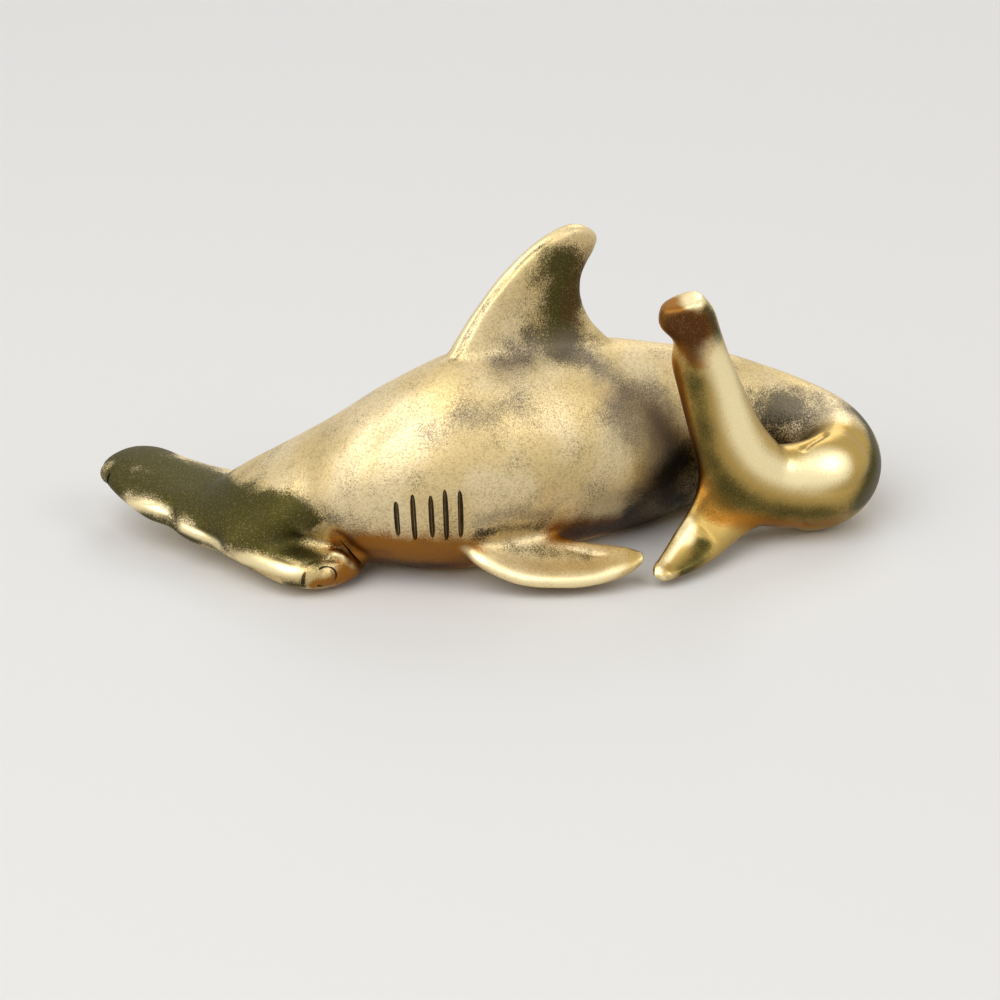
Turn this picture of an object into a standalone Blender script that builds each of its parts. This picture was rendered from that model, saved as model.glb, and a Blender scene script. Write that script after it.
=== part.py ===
"""Cast brass hammerhead shark: it lies on its belly, the head turned out and the tail curled round."""

import math

import bmesh
import bpy
import numpy as np
from mathutils import Vector

MM = 0.001

# All sizes below are in millimetres and are turned into metres where a mesh is made.

# Trunk, from the snout back to the tail root:
# centre x, y, z, half width, half height, how far the back is pinched to a ridge
TRUNK = (
    (-21.0, -4.6, 2.9, 3.4, 1.2, 0.00),
    (-17.6, -3.1, 4.0, 5.3, 2.8, 0.05),
    (-13.4, -2.5, 5.3, 5.2, 4.45, 0.10),
    (-8.3, -3.2, 6.9, 6.0, 6.6, 0.15),
    (-3.6, -3.2, 7.8, 6.6, 8.1, 0.20),
    (2.2, -0.5, 7.8, 6.7, 8.1, 0.20),
    (8.0, 2.8, 7.4, 6.1, 7.7, 0.20),
    (13.0, 5.6, 6.7, 5.0, 6.8, 0.20),
    (17.8, 7.8, 6.2, 4.0, 5.6, 0.20),
    (22.0, 8.5, 5.5, 3.5, 4.4, 0.15),
    (25.2, 6.9, 4.8, 3.4, 3.9, 0.10),
    (26.1, 4.0, 4.3, 3.2, 3.8, 0.10),
    (24.6, 1.5, 4.1, 2.9, 3.7, 0.10),
    (21.6, 0.3, 4.3, 2.3, 3.3, 0.05),
    (19.0, -0.4, 4.9, 1.8, 3.5, 0.00),
    (17.0, -1.0, 5.4, 1.4, 4.2, 0.00),
    (15.6, -1.4, 5.6, 1.0, 3.6, 0.00),
)
TRUNK_RINGS = 120
TRUNK_SIDES = 40

# Head blade, across its span from the far tip to the near tip:
# distance along the span, front edge, rear edge, thickness, lift
BLADE = (
    (-12.0, 0.4, -1.0, 0.6, 0.2),
    (-11.6, 1.6, -2.4, 1.6, 0.2),
    (-10.2, 2.6, -3.5, 2.4, 0.2),
    (-7.6, 3.5, -4.0, 2.7, 0.1),
    (-4.8, 3.9, -4.9, 2.9, 0.0),
    (-3.3, 3.6, -5.7, 3.1, 0.0),
    (-1.6, 4.0, -6.4, 3.3, 0.0),
    (0.0, 4.0, -6.8, 3.4, 0.0),
    (1.4, 3.6, -6.4, 3.4, 0.0),
    (3.0, 3.9, -5.4, 3.3, 0.1),
    (6.0, 4.0, -4.0, 3.1, 0.1),
    (8.2, 3.8, -3.2, 2.9, 0.1),
    (9.6, 3.0, -2.9, 2.7, 0.1),
    (10.7, 1.2, -2.7, 2.1, 0.1),
    (11.2, -0.4, -2.0, 0.9, 0.1),
)
BLADE_CENTRE = (-19.2, -2.2, 2.7)
BLADE_YAW = math.radians(-37.0)
BLADE_ROLL = math.radians(7.0)
BLADE_RINGS = 84

# Fins, from root to tip: leading edge x, y, z, trailing edge x, y, z, half thickness
DORSAL = (
    (-4.6, -3.6, 12.6, 10.6, 4.1, 12.0, 2.6),
    (-3.1, -2.9, 16.2, 8.7, 3.1, 15.0, 1.9),
    (-2.1, -2.3, 17.9, 7.3, 2.5, 16.8, 1.5),
    (-0.9, -1.7, 19.6, 6.6, 2.1, 18.6, 1.3),
    (0.8, -0.9, 21.6, 6.5, 2.1, 20.2, 1.25),
    (2.7, 0.1, 23.2, 6.9, 2.4, 21.3, 1.2),
    (4.5, 1.1, 24.2, 7.5, 2.7, 22.4, 1.1),
    (5.9, 1.8, 24.5, 7.7, 2.8, 23.3, 0.9),
    (6.7, 2.2, 24.3, 7.4, 2.6, 23.8, 0.5),
)
PECTORAL = (
    (-3.0, -5.0, 4.2, 6.9, -1.0, 4.6, 2.4),
    (-2.6, -7.5, 3.7, 5.6, -4.0, 3.5, 1.4),
    (-1.5, -9.1, 2.7, 4.9, -5.2, 3.1, 1.0),
    (1.6, -10.1, 1.4, 5.4, -5.6, 2.9, 0.95),
    (4.6, -10.2, 1.1, 6.6, -5.8, 2.7, 0.9),
    (7.4, -9.8, 1.1, 8.4, -6.1, 2.6, 0.85),
    (9.4, -9.1, 1.4, 9.8, -6.7, 2.7, 0.75),
    (10.6, -8.5, 1.8, 10.7, -7.2, 2.7, 0.6),
    (11.2, -8.0, 2.2, 11.1, -7.6, 2.7, 0.4),
)
UPPER_LOBE = (
    (22.8, 0.1, 4.6, 15.2, -1.3, 4.6, 1.9),
    (21.7, -0.3, 7.2, 15.1, -1.5, 6.8, 1.9),
    (19.9, -0.8, 9.8, 14.4, -1.7, 9.6, 1.8),
    (18.3, -1.2, 13.2, 13.6, -1.9, 12.8, 1.7),
    (17.1, -1.7, 16.2, 13.0, -2.3, 15.6, 1.6),
    (16.5, -2.0, 18.0, 13.1, -2.7, 17.2, 1.55),
    (16.0, -2.3, 19.6, 12.0, -3.0, 18.6, 1.6),
    (15.1, -2.6, 20.9, 12.1, -3.2, 20.0, 1.3),
)
LOWER_LOBE = (
    (22.0, 0.4, 3.4, 15.4, -0.8, 7.0, 1.7),
    (20.2, -0.9, 1.9, 15.1, -1.9, 5.5, 1.6),
    (18.3, -2.9, 1.3, 14.2, -3.5, 3.9, 1.25),
    (16.6, -5.0, 1.0, 13.1, -5.3, 2.8, 1.05),
    (14.8, -6.9, 0.8, 12.1, -6.9, 1.9, 0.9),
    (13.5, -7.9, 0.7, 11.6, -7.8, 1.5, 0.75),
    (12.6, -8.5, 0.7, 11.6, -8.4, 1.1, 0.45),
)
TAIL_KEEL = (
    (21.8, 1.6, 1.6, 26.6, 2.6, 1.8, 1.3),
    (22.2, 1.1, 0.7, 26.0, 2.0, 0.7, 1.0),
    (23.0, 0.9, 0.0, 25.3, 1.6, 0.0, 0.7),
)
FIN_RINGS = 48
SECTION_SIDES = 32
SECTION_ROUNDNESS = 2.3

# The far pectoral fin mirrors the near one across the spine at this place along it
SHOULDER_PLACE = 22.5

# Gill slits on both flanks: distances along the spine, height angle and blade size
GILL_PLACES = (15.6, 16.55, 17.42, 18.04, 18.62)
GILL_TURN = math.radians(-9.2)
GILL_LEAN = math.radians(2.5)
GILL_LENGTHS = (3.0, 4.1, 3.7, 4.6, 4.2)
GILL_WIDTH = 0.4
GILL_DEPTH = 0.5

# Eyes on the ends of the head blade, each in a ring groove: distance along the span, height angle,
# how far it looks outward along the span, how deep it sits
EYES = (
    (10.45, math.radians(8.0), 1.3, 0.74),
    (-11.4, math.radians(-10.0), 2.4, 0.86),
)
EYE_RADIUS = 0.88
EYE_RING_INSET = 0.08
EYE_RING_SEAT = 0.16
EYE_RING_WIDTH = 0.22

# Nostril grooves cut across the front of the blade, inside each eye
NOSTRIL_PLACES = (9.4, -10.0)
NOSTRIL_WIDTH = 0.24
NOSTRIL_DEPTH = 0.4
NOSTRIL_HEIGHT = 2.4

# Slot behind the near wing of the head, from its top to its foot
WING_GAP = ((-11.4, -8.3, 4.3), (-8.7, -7.4, 0.5))
WING_GAP_WAY_IN = (0.1, 0.9, -0.2)
WING_GAP_WIDTH = 0.26
WING_GAP_DEPTH = 1.0

# Marks worked into the skin: points along each, half width, depth (below zero stands proud)
MARKS = (
    # line inside the dorsal fin's leading rim
    (((-3.6, -3.6, 14.9), (-2.6, -3.3, 16.3), (-1.7, -2.6, 17.8), (-0.5, -1.9, 19.6), (1.0, -1.2, 21.4),
      (2.6, -0.2, 22.9), (4.1, 0.5, 23.8), (5.1, 1.0, 24.2)), 0.2, 0.15),
    # hollow along the top of the near wing, and the ridge behind it
    (((-16.5, -6.8, 4.1), (-14.6, -7.6, 3.8), (-12.9, -8.2, 3.4), (-11.4, -8.6, 2.8)), 0.8, 0.2),
    (((-14.4, -7.7, 4.8), (-12.9, -8.1, 4.0), (-11.6, -8.4, 3.2), (-10.2, -8.5, 2.2)), 0.4, -0.3),
    # gap between the near wing and the flank behind it
    (((-11.9, -8.2, 4.7), (-11.2, -8.3, 4.2), (-10.3, -8.1, 3.2), (-9.5, -7.7, 2.2), (-9.0, -7.3, 1.2),
      (-8.9, -7.0, 0.3)), 0.5, 0.35),
    # brow line over the near eye
    (((-13.9, -9.9, 2.6), (-12.6, -9.2, 2.9), (-11.3, -8.9, 2.7), (-9.9, -8.3, 2.2)), 0.18, 0.1),
    # top border of the head's front face, far wing, middle and near wing, with the notches between
    (((-26.9, -0.9, 3.6), (-25.7, -1.8, 4.0), (-24.2, -2.5, 4.1), (-23.6, -3.0, 3.8)), 0.2, 0.1),
    (((-22.8, -4.3, 3.4), (-21.4, -5.2, 3.3), (-20.4, -6.0, 3.0), (-19.5, -7.0, 2.9)), 0.2, 0.1),
    (((-18.7, -7.5, 2.6), (-17.3, -8.2, 3.1), (-15.3, -9.1, 3.0), (-13.9, -9.9, 2.7)), 0.2, 0.1),
    (((-24.2, -2.2, 4.4), (-23.4, -3.3, 3.5), (-23.2, -3.8, 2.4)), 0.3, 0.25),
    (((-20.2, -6.0, 3.5), (-19.3, -7.2, 2.6), (-19.2, -7.5, 1.8)), 0.3, 0.22),
    # soft fold on the flank
    (((-12.5, -7.4, 7.6), (-10.5, -7.6, 9.7), (-8.7, -7.2, 11.3), (-6.9, -6.8, 12.8), (-5.2, -6.5, 13.9)), 0.8, 0.1),
    # crease on top of the curl, and the one under the tail
    (((22.8, -0.2, 7.3), (23.7, 0.9, 7.6), (24.5, 1.7, 7.8), (25.0, 2.3, 7.8)), 0.3, 0.22),
    (((22.7, -1.3, 2.1), (23.8, -0.7, 1.4), (25.1, -0.1, 1.1), (26.0, 0.1, 1.5)), 0.28, 0.22),
    # edge where the flat top of the curl turns over
    (((25.4, 3.0, 7.9), (26.6, 2.6, 7.8), (27.7, 2.2, 7.1), (28.4, 2.0, 6.1), (28.2, 1.3, 5.1), (26.9, -0.3, 4.6),
      (25.0, -1.4, 4.6), (22.7, -1.8, 4.9)), 0.45, 0.14),
    # hollow top of the pectoral fin and its fold near the tip
    (((-0.1, -8.0, 3.0), (2.0, -8.4, 2.6), (4.4, -8.3, 2.4), (6.7, -8.0, 2.4), (8.7, -7.8, 2.4)), 1.3, 0.2),
    (((5.0, -7.0, 2.9), (6.8, -7.4, 2.6), (8.6, -7.8, 2.5)), 0.25, 0.08),
    # scoop of the lower lobe
    (((12.8, -8.1, 1.3), (13.7, -7.0, 1.9), (14.8, -5.6, 2.4), (15.7, -4.4, 2.9)), 0.9, 0.25),
)
MARK_STEPS = 60

# Places rubbed smooth before the marks: centre, reach, rounds of smoothing
SOFT_SPOTS = (
    ((-16.8, -4.2, 5.2), 5.0, 60),
    ((-19.5, -6.5, 3.2), 2.2, 20),
    ((18.2, -2.4, 4.6), 3.6, 60),
    ((24.5, -0.5, 4.5), 3.0, 20),
    ((24.0, 1.4, 0.6), 2.6, 45),
    ((2.0, -6.0, 4.0), 2.6, 15),
    ((2.6, -2.8, 15.6), 4.6, 35),
)

CASTING_VOXEL = 0.21
FILLET_ROUNDS = 20
FACE_COUNT = 9400
TOOL_SIDES = 12


def through(stations, count, keys=3):
    """Reads a smooth curve through the stations, at places evenly spaced along it."""
    table = np.array(stations, dtype=float)
    steps = np.linalg.norm(np.diff(table[:, :keys], axis=0), axis=1)
    knots = np.concatenate(([0.0], np.cumsum(steps)))
    slopes = np.gradient(table, knots, axis=0)
    places = np.linspace(0.0, knots[-1], count)
    span = np.clip(np.searchsorted(knots, places, side="right") - 1, 0, len(knots) - 2)
    width = (knots[span + 1] - knots[span])[:, None]
    t = (places - knots[span])[:, None] / width
    start, end = table[span], table[span + 1]
    rise, fall = slopes[span] * width, slopes[span + 1] * width
    return (
        (2 * t**3 - 3 * t**2 + 1) * start
        + (t**3 - 2 * t**2 + t) * rise
        + (3 * t**2 - 2 * t**3) * end
        + (t**3 - t**2) * fall
    )


def unit(vector):
    return vector / np.linalg.norm(vector)


def placed(name, mesh):
    """Puts a closed mesh into the scene with its faces pointing out."""
    if mesh.calc_volume(signed=True) < 0.0:
        bmesh.ops.reverse_faces(mesh, faces=mesh.faces)
    data = bpy.data.meshes.new(name)
    mesh.to_mesh(data)
    mesh.free()
    shape = bpy.data.objects.new(name, data)
    bpy.context.scene.collection.objects.link(shape)
    return shape


def loft(name, rings):
    """Makes a closed mesh object from rings of points, each end closed on its middle."""
    rings = np.asarray(rings) * MM
    sides = rings.shape[1]
    mesh = bmesh.new()
    loops = [[mesh.verts.new(point) for point in ring] for ring in rings]
    for first, second in zip(loops, loops[1:]):
        for k in range(sides):
            after = (k + 1) % sides
            mesh.faces.new((first[k], first[after], second[after], second[k]))
    for loop in (loops[0], loops[-1]):
        middle = mesh.verts.new(sum((v.co for v in loop), Vector()) / sides)
        for k in range(sides):
            mesh.faces.new((loop[k], loop[(k + 1) % sides], middle))
    return placed(name, mesh)


def trunk_ring(row, forward):
    """One oval section of the trunk, square to the spine in plan."""
    x, y, z, half_width, half_height, ridge = row
    turn = np.linspace(0.0, 2 * math.pi, TRUNK_SIDES, endpoint=False)
    side = unit(np.array((forward[1], -forward[0], 0.0)))
    pinch = 1.0 - ridge * np.maximum(0.0, np.sin(turn)) ** 2
    across = half_width * np.cos(turn) * pinch
    lift = half_height * np.sin(turn)
    return np.array((x, y, z)) + np.outer(across, side) + np.outer(lift, (0, 0, 1))


def trunk():
    """The trunk: oval sections along the spine, the back pinched to a soft ridge."""
    path = through(TRUNK, TRUNK_RINGS)
    ahead = np.gradient(path[:, :3], axis=0)
    return loft("trunk", [trunk_ring(row, forward) for row, forward in zip(path, ahead)])


def spine_at(place):
    """The trunk's section values and heading at a distance along the spine."""
    path = through(TRUNK, TRUNK_RINGS)
    steps = np.linalg.norm(np.diff(path[:, :3], axis=0), axis=1)
    travelled = np.concatenate(([0.0], np.cumsum(steps)))
    row = np.array([np.interp(place, travelled, column) for column in path.T])
    ahead = np.gradient(path[:, :3], axis=0)
    forward = np.array([np.interp(place, travelled, column) for column in ahead.T])
    return row, unit(np.array((forward[0], forward[1], 0.0)))


def flank_point(place, turn, flank):
    """A point on the trunk's skin, with the way out of it; flank is 1 near, -1 far."""
    row, forward = spine_at(place)
    side = flank * np.array((forward[1], -forward[0], 0.0))
    point = row[:3] + side * row[3] * math.cos(turn) + np.array((0, 0, row[4] * math.sin(turn)))
    outward = unit(side * math.cos(turn) / row[3] + np.array((0, 0, math.sin(turn) / row[4])))
    return point, outward, forward


def section(lead, trail, half_thickness, outward, dish=0.0, taper=0.0):
    """A lens-shaped section from its leading to its trailing edge, hollowed by dish."""
    turn = np.linspace(0.0, 2 * math.pi, SECTION_SIDES, endpoint=False)
    power = 2.0 / SECTION_ROUNDNESS
    along = np.sign(np.cos(turn)) * np.abs(np.cos(turn)) ** power
    thick = np.sign(np.sin(turn)) * np.abs(np.sin(turn)) ** power
    chord = (lead - trail) / 2
    across = unit(np.cross(outward, chord))
    hollow = 1.0 - dish * (1.0 - along**2)
    narrow = 1.0 - taper * (1.0 - along) / 2
    half = half_thickness * thick * hollow * narrow
    return (lead + trail) / 2 + np.outer(along, chord) + np.outer(half, across)


def fin(name, stations, dish=0.25, taper=0.35):
    """A fin: sections between its leading and trailing edges, from root to tip."""
    path = through(stations, FIN_RINGS, keys=6)
    middles = (path[:, :3] + path[:, 3:6]) / 2
    outward = np.gradient(middles, axis=0)
    rings = [
        section(row[:3], row[3:6], row[6], rise, dish, taper) for row, rise in zip(path, outward)
    ]
    return loft(name, rings)


def blade_axes():
    """The blade's span, its way forward and the way up, as unit vectors."""
    span = unit(np.array((math.cos(BLADE_YAW), math.sin(BLADE_YAW), -math.sin(BLADE_ROLL))))
    front = unit(np.array((span[1], -span[0], 0.0)))
    return span, front, np.cross(span, front) * -1.0


def blade():
    """The wide flat head: sections set side by side across its span."""
    span, front, _ = blade_axes()
    rings = []
    for place, lead, rear, thickness, lift in through(BLADE, BLADE_RINGS):
        middle = np.array(BLADE_CENTRE) + span * place + np.array((0, 0, lift))
        rings.append(section(middle + front * lead, middle + front * rear, thickness / 2, span))
    return loft("blade", rings)


def blade_point(place, turn):
    """A point on the blade's skin; turn runs from its front edge up over the top."""
    span, front, up = blade_axes()
    path = through(BLADE, BLADE_RINGS)
    order = np.argsort(path[:, 0])
    lead, rear, thickness, lift = (np.interp(place, path[order, 0], path[order, k]) for k in (1, 2, 3, 4))
    middle = np.array(BLADE_CENTRE) + span * place + np.array((0, 0, lift))
    half_chord = (lead - rear) / 2
    point = middle + front * ((lead + rear) / 2 + half_chord * math.cos(turn))
    point = point + up * thickness / 2 * math.sin(turn)
    outward = unit(front * math.cos(turn) / half_chord + up * math.sin(turn) / (thickness / 2))
    return point, outward


def mirrored(shape, point, normal):
    """Turns a form into its mirror image across an upright plane."""
    mesh = bmesh.new()
    mesh.from_mesh(shape.data)
    base, across = Vector(point) * MM, Vector(normal)
    for vertex in mesh.verts:
        vertex.co -= 2.0 * (vertex.co - base).dot(across) * across
    bmesh.ops.reverse_faces(mesh, faces=mesh.faces)
    mesh.to_mesh(shape.data)
    mesh.free()
    return shape


def far_pectoral():
    """The hidden pectoral fin, the near one's mirror image across the spine."""
    row, forward = spine_at(SHOULDER_PLACE)
    return mirrored(fin("far_pectoral", PECTORAL), row[:3], (forward[1], -forward[0], 0.0))


def aimed(name, centre, axes, half_sizes, blunt=False):
    """A small egg-shaped tool: half_sizes run along the three axes; blunt keeps it wide to its ends."""
    mesh = bmesh.new()
    bmesh.ops.create_uvsphere(mesh, u_segments=TOOL_SIDES, v_segments=TOOL_SIDES - 4, radius=1.0)
    turn = np.array(axes).T * np.array(half_sizes)
    for vertex in mesh.verts:
        x, y, z = vertex.co
        wide = math.sqrt(1.0 + y**2 + y**4) if blunt else 1.0
        vertex.co = Vector((np.array(centre) + turn @ np.array((x * wide, y, z * wide))) * MM)
    return placed(name, mesh)


def gill_slit(place, length, flank):
    centre, outward, forward = flank_point(place, GILL_TURN, flank)
    upright = unit(np.cross(np.cross(outward, (0.0, 0.0, 1.0)), outward))
    upward = upright * math.cos(GILL_LEAN) + flank * np.cross(outward, upright) * math.sin(GILL_LEAN)
    sizes = (GILL_WIDTH / 2, length / 2, GILL_DEPTH)
    return aimed("gill_slit", centre, (unit(np.cross(upward, outward)), upward, outward), sizes, blunt=True)


def eye_parts(place, turn, outlook, seat):
    """An eyeball and the tool that cuts the ring groove round it."""
    span, _, _ = blade_axes()
    point, outward = blade_point(place, turn)
    outward = unit(outward + outlook * math.copysign(1.0, place) * span)
    upward = unit(np.cross(np.cross(outward, (0.0, 0.0, 1.0)), outward))
    across = np.cross(upward, outward)
    ball = aimed("eyeball", point - outward * seat, (across, upward, outward), [EYE_RADIUS] * 3)
    bpy.ops.mesh.primitive_torus_add(
        major_radius=(EYE_RADIUS - EYE_RING_INSET) * MM,
        minor_radius=EYE_RING_WIDTH / 2 * MM,
        major_segments=20,
        minor_segments=6,
    )
    groove = bpy.context.active_object
    groove.name = "eye_groove"
    groove.rotation_euler = Vector(outward).to_track_quat("Z", "Y").to_euler()
    groove.location = Vector(point - outward * EYE_RING_SEAT) * MM
    return ball, groove


def nostril(place):
    span, front, up = blade_axes()
    point, _ = blade_point(place, 0.0)
    return aimed("nostril", point, (span, front, up), (NOSTRIL_WIDTH / 2, NOSTRIL_DEPTH, NOSTRIL_HEIGHT / 2))


def wing_gap():
    """The slot between the near wing's rear edge and the flank behind it."""
    top, foot = np.array(WING_GAP)
    along = unit(foot - top)
    across = unit(np.cross(along, WING_GAP_WAY_IN))
    sizes = (WING_GAP_WIDTH / 2, np.linalg.norm(foot - top) / 2, WING_GAP_DEPTH)
    return aimed("wing_gap", (top + foot) / 2, (across, along, np.cross(across, along)), sizes)


def ground():
    """The flat that the casting is ground to underneath, so that it stands."""
    places = np.array(TRUNK)[:, 0]
    reach = 2.0 * (places.max() - places.min())
    bpy.ops.mesh.primitive_cube_add(size=reach * MM, location=(0, 0, -reach * MM / 2))
    tool = bpy.context.active_object
    tool.name = "ground"
    return tool


def settle(shape):
    """Turns what a shape's modifiers make into its own mesh."""
    graph = bpy.context.evaluated_depsgraph_get()
    mesh = bpy.data.meshes.new_from_object(shape.evaluated_get(graph))
    shape.modifiers.clear()
    shape.data = mesh


def read(mesh, name):
    """One vector for each of the mesh's points: its place, co, or its way out, normal."""
    values = np.empty(len(mesh.vertices) * 3)
    mesh.vertices.foreach_get(name, values)
    return values.reshape(-1, 3)


def soften(shape):
    """Rubs the skin smooth where forms run into each other."""
    mesh = shape.data
    points = read(mesh, "co") / MM
    edges = np.empty(len(mesh.edges) * 2, dtype=np.int64)
    mesh.edges.foreach_get("vertices", edges)
    first, second = edges.reshape(-1, 2).T
    size = len(points)
    count = np.bincount(first, minlength=size) + np.bincount(second, minlength=size)
    for centre, reach, rounds in SOFT_SPOTS:
        gap = np.sum(((points - np.array(centre)) / reach) ** 2, axis=1)
        weight = 0.5 * np.exp(-(gap**2))
        for _ in range(rounds):
            for axis in points.T:
                total = np.bincount(first, axis[second], size) + np.bincount(second, axis[first], size)
                axis += weight * (total / count - axis)
    mesh.vertices.foreach_set("co", (points * MM).ravel())
    mesh.update()


def nearness(points, path, half_width):
    """How near each point is to a mark's path, from 0 to 1, fading out at the mark's ends."""
    track = through(path, MARK_STEPS)
    low, high = track.min(axis=0) - 3 * half_width, track.max(axis=0) + 3 * half_width
    close = np.flatnonzero(np.all((points > low) & (points < high), axis=1))
    gaps = np.linalg.norm(points[close, None, :] - track[None, :, :], axis=2)
    place = gaps.argmin(axis=1) / (MARK_STEPS - 1)
    fade = np.clip(8.0 * place * (1.0 - place), 0.0, 1.0)
    near = np.zeros(len(points))
    near[close] = np.exp(-((gaps.min(axis=1) / half_width) ** 2)) * fade
    return near


def carve(shape):
    """Presses or raises every mark in the skin."""
    mesh = shape.data
    points, normals = read(mesh, "co") / MM, read(mesh, "normal")
    moved = points.copy()
    for path, half_width, depth in MARKS:
        moved -= normals * (depth * nearness(points, path, half_width))[:, None]
    mesh.vertices.foreach_set("co", (moved * MM).ravel())
    mesh.update()


def work(shape, tool, operation):
    """Cuts or adds a tool with a Boolean that stays on the shape."""
    tool.hide_render = True
    tool.display_type = "WIRE"
    step = shape.modifiers.new(tool.name, "BOOLEAN")
    step.object = tool
    step.operation = operation
    step.solver = "EXACT"


def clear_scene():
    for item in list(bpy.data.objects):
        bpy.data.objects.remove(item, do_unlink=True)


def join(name, shapes):
    """Puts all the forms into one mesh, ready to be cast as one."""
    mesh = bmesh.new()
    for shape in shapes:
        mesh.from_mesh(shape.data)
        bpy.data.objects.remove(shape, do_unlink=True)
    return placed(name, mesh)


def stand_on_origin(shape):
    """Moves the casting and its tools together, so that its box stands centred on the origin."""
    frame = bpy.data.objects.new("frame", None)
    bpy.context.scene.collection.objects.link(frame)
    for item in [shape] + [step.object for step in shape.modifiers if step.type == "BOOLEAN"]:
        item.parent = frame
    bpy.context.view_layer.update()
    solid = shape.evaluated_get(bpy.context.evaluated_depsgraph_get())
    corners = np.array([corner[:] for corner in solid.bound_box])
    low, high = corners.min(axis=0), corners.max(axis=0)
    frame.location = (-(low[0] + high[0]) / 2, -(low[1] + high[1]) / 2, -low[2])


def brass():
    """Warm yellow brass, satin as it comes from the tumbler."""
    material = bpy.data.materials.new("brass")
    material.use_nodes = True
    shader = material.node_tree.nodes["Principled BSDF"]
    shader.inputs["Base Color"].default_value = (0.72, 0.50, 0.18, 1.0)
    shader.inputs["Metallic"].default_value = 1.0
    shader.inputs["Roughness"].default_value = 0.34
    return material


def main():
    clear_scene()
    shark = join(
        "shark_figurine",
        [
            trunk(),
            blade(),
            fin("dorsal_fin", DORSAL),
            fin("pectoral_fin", PECTORAL),
            far_pectoral(),
            fin("upper_lobe", UPPER_LOBE, dish=0.0, taper=0.2),
            fin("lower_lobe", LOWER_LOBE),
            fin("tail_keel", TAIL_KEEL),
        ],
    )
    shark.data.materials.append(brass())
    cast = shark.modifiers.new("cast", "REMESH")
    cast.mode = "VOXEL"
    cast.voxel_size = CASTING_VOXEL * MM
    smooth = shark.modifiers.new("fillet", "SMOOTH")
    smooth.factor = 0.5
    smooth.iterations = FILLET_ROUNDS
    settle(shark)
    soften(shark)
    carve(shark)
    facets = shark.modifiers.new("facets", "DECIMATE")
    facets.ratio = FACE_COUNT / (2 * len(shark.data.polygons))
    for row in EYES:
        ball, groove = eye_parts(*row)
        work(shark, ball, "UNION")
        work(shark, groove, "DIFFERENCE")
    for place in NOSTRIL_PLACES:
        work(shark, nostril(place), "DIFFERENCE")
    for place, length in zip(GILL_PLACES, GILL_LENGTHS):
        for flank in (1, -1):
            work(shark, gill_slit(place, length, flank), "DIFFERENCE")
    work(shark, wing_gap(), "DIFFERENCE")
    work(shark, ground(), "DIFFERENCE")
    stand_on_origin(shark)


main()
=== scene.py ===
"""Looks of the cast brass hammerhead shark: its fine skin, its aged finish, the floor, lamps and camera."""

import math

import bmesh
import bpy
import numpy as np
from mathutils import Matrix, Vector


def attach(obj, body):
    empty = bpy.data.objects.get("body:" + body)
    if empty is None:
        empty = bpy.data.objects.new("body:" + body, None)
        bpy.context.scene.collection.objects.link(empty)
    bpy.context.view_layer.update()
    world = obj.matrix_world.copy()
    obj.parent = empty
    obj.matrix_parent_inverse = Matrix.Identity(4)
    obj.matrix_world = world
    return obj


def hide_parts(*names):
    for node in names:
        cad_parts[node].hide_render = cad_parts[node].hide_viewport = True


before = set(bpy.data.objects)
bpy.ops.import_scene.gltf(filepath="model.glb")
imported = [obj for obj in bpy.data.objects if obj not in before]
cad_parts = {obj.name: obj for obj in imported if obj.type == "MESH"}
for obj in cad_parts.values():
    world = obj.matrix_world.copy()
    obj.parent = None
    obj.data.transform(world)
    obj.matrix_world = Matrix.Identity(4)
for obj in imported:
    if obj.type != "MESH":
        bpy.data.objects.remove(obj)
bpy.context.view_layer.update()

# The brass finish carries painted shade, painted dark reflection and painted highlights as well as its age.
bl_info = {
    "name": "Cast Shark Figurine",
    "version": (1, 0, 0),
    "blender": (4, 5, 0),
    "location": "View3D > Sidebar > Shark",
    "description": "Builds the shark figurine's casting, its aged brass and a plain stage",
    "category": "Object",
}

MM = 0.001
CASTING = "shark_casting"
CAD_NODE = "shark_figurine"

# All sizes below are in millimetres and are turned into metres where a mesh is made.

# Trunk, from the snout back to the tail root:
# centre x, y, z, half width, half height, how far the back is pinched to a ridge
TRUNK = (
    (-21.0, -4.6, 2.9, 3.4, 1.2, 0.00),
    (-17.6, -3.1, 4.0, 5.3, 2.8, 0.05),
    (-13.4, -2.5, 5.3, 5.2, 4.45, 0.10),
    (-8.3, -3.2, 6.9, 6.0, 6.6, 0.15),
    (-3.6, -3.2, 7.8, 6.6, 8.1, 0.20),
    (2.2, -0.5, 7.8, 6.7, 8.1, 0.20),
    (8.0, 2.8, 7.4, 6.1, 7.7, 0.20),
    (13.0, 5.6, 6.7, 5.0, 6.8, 0.20),
    (17.8, 7.8, 6.2, 4.0, 5.6, 0.20),
    (22.0, 8.5, 5.5, 3.5, 4.4, 0.15),
    (25.2, 6.9, 4.8, 3.4, 3.9, 0.10),
    (26.1, 4.0, 4.3, 3.2, 3.8, 0.10),
    (24.6, 1.5, 4.1, 2.9, 3.7, 0.10),
    (21.6, 0.3, 4.3, 2.3, 3.3, 0.05),
    (19.0, -0.4, 4.9, 1.8, 3.5, 0.00),
    (17.0, -1.0, 5.4, 1.4, 4.2, 0.00),
    (15.6, -1.4, 5.6, 1.0, 3.6, 0.00),
)
TRUNK_RINGS = 200
TRUNK_SIDES = 72

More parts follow.
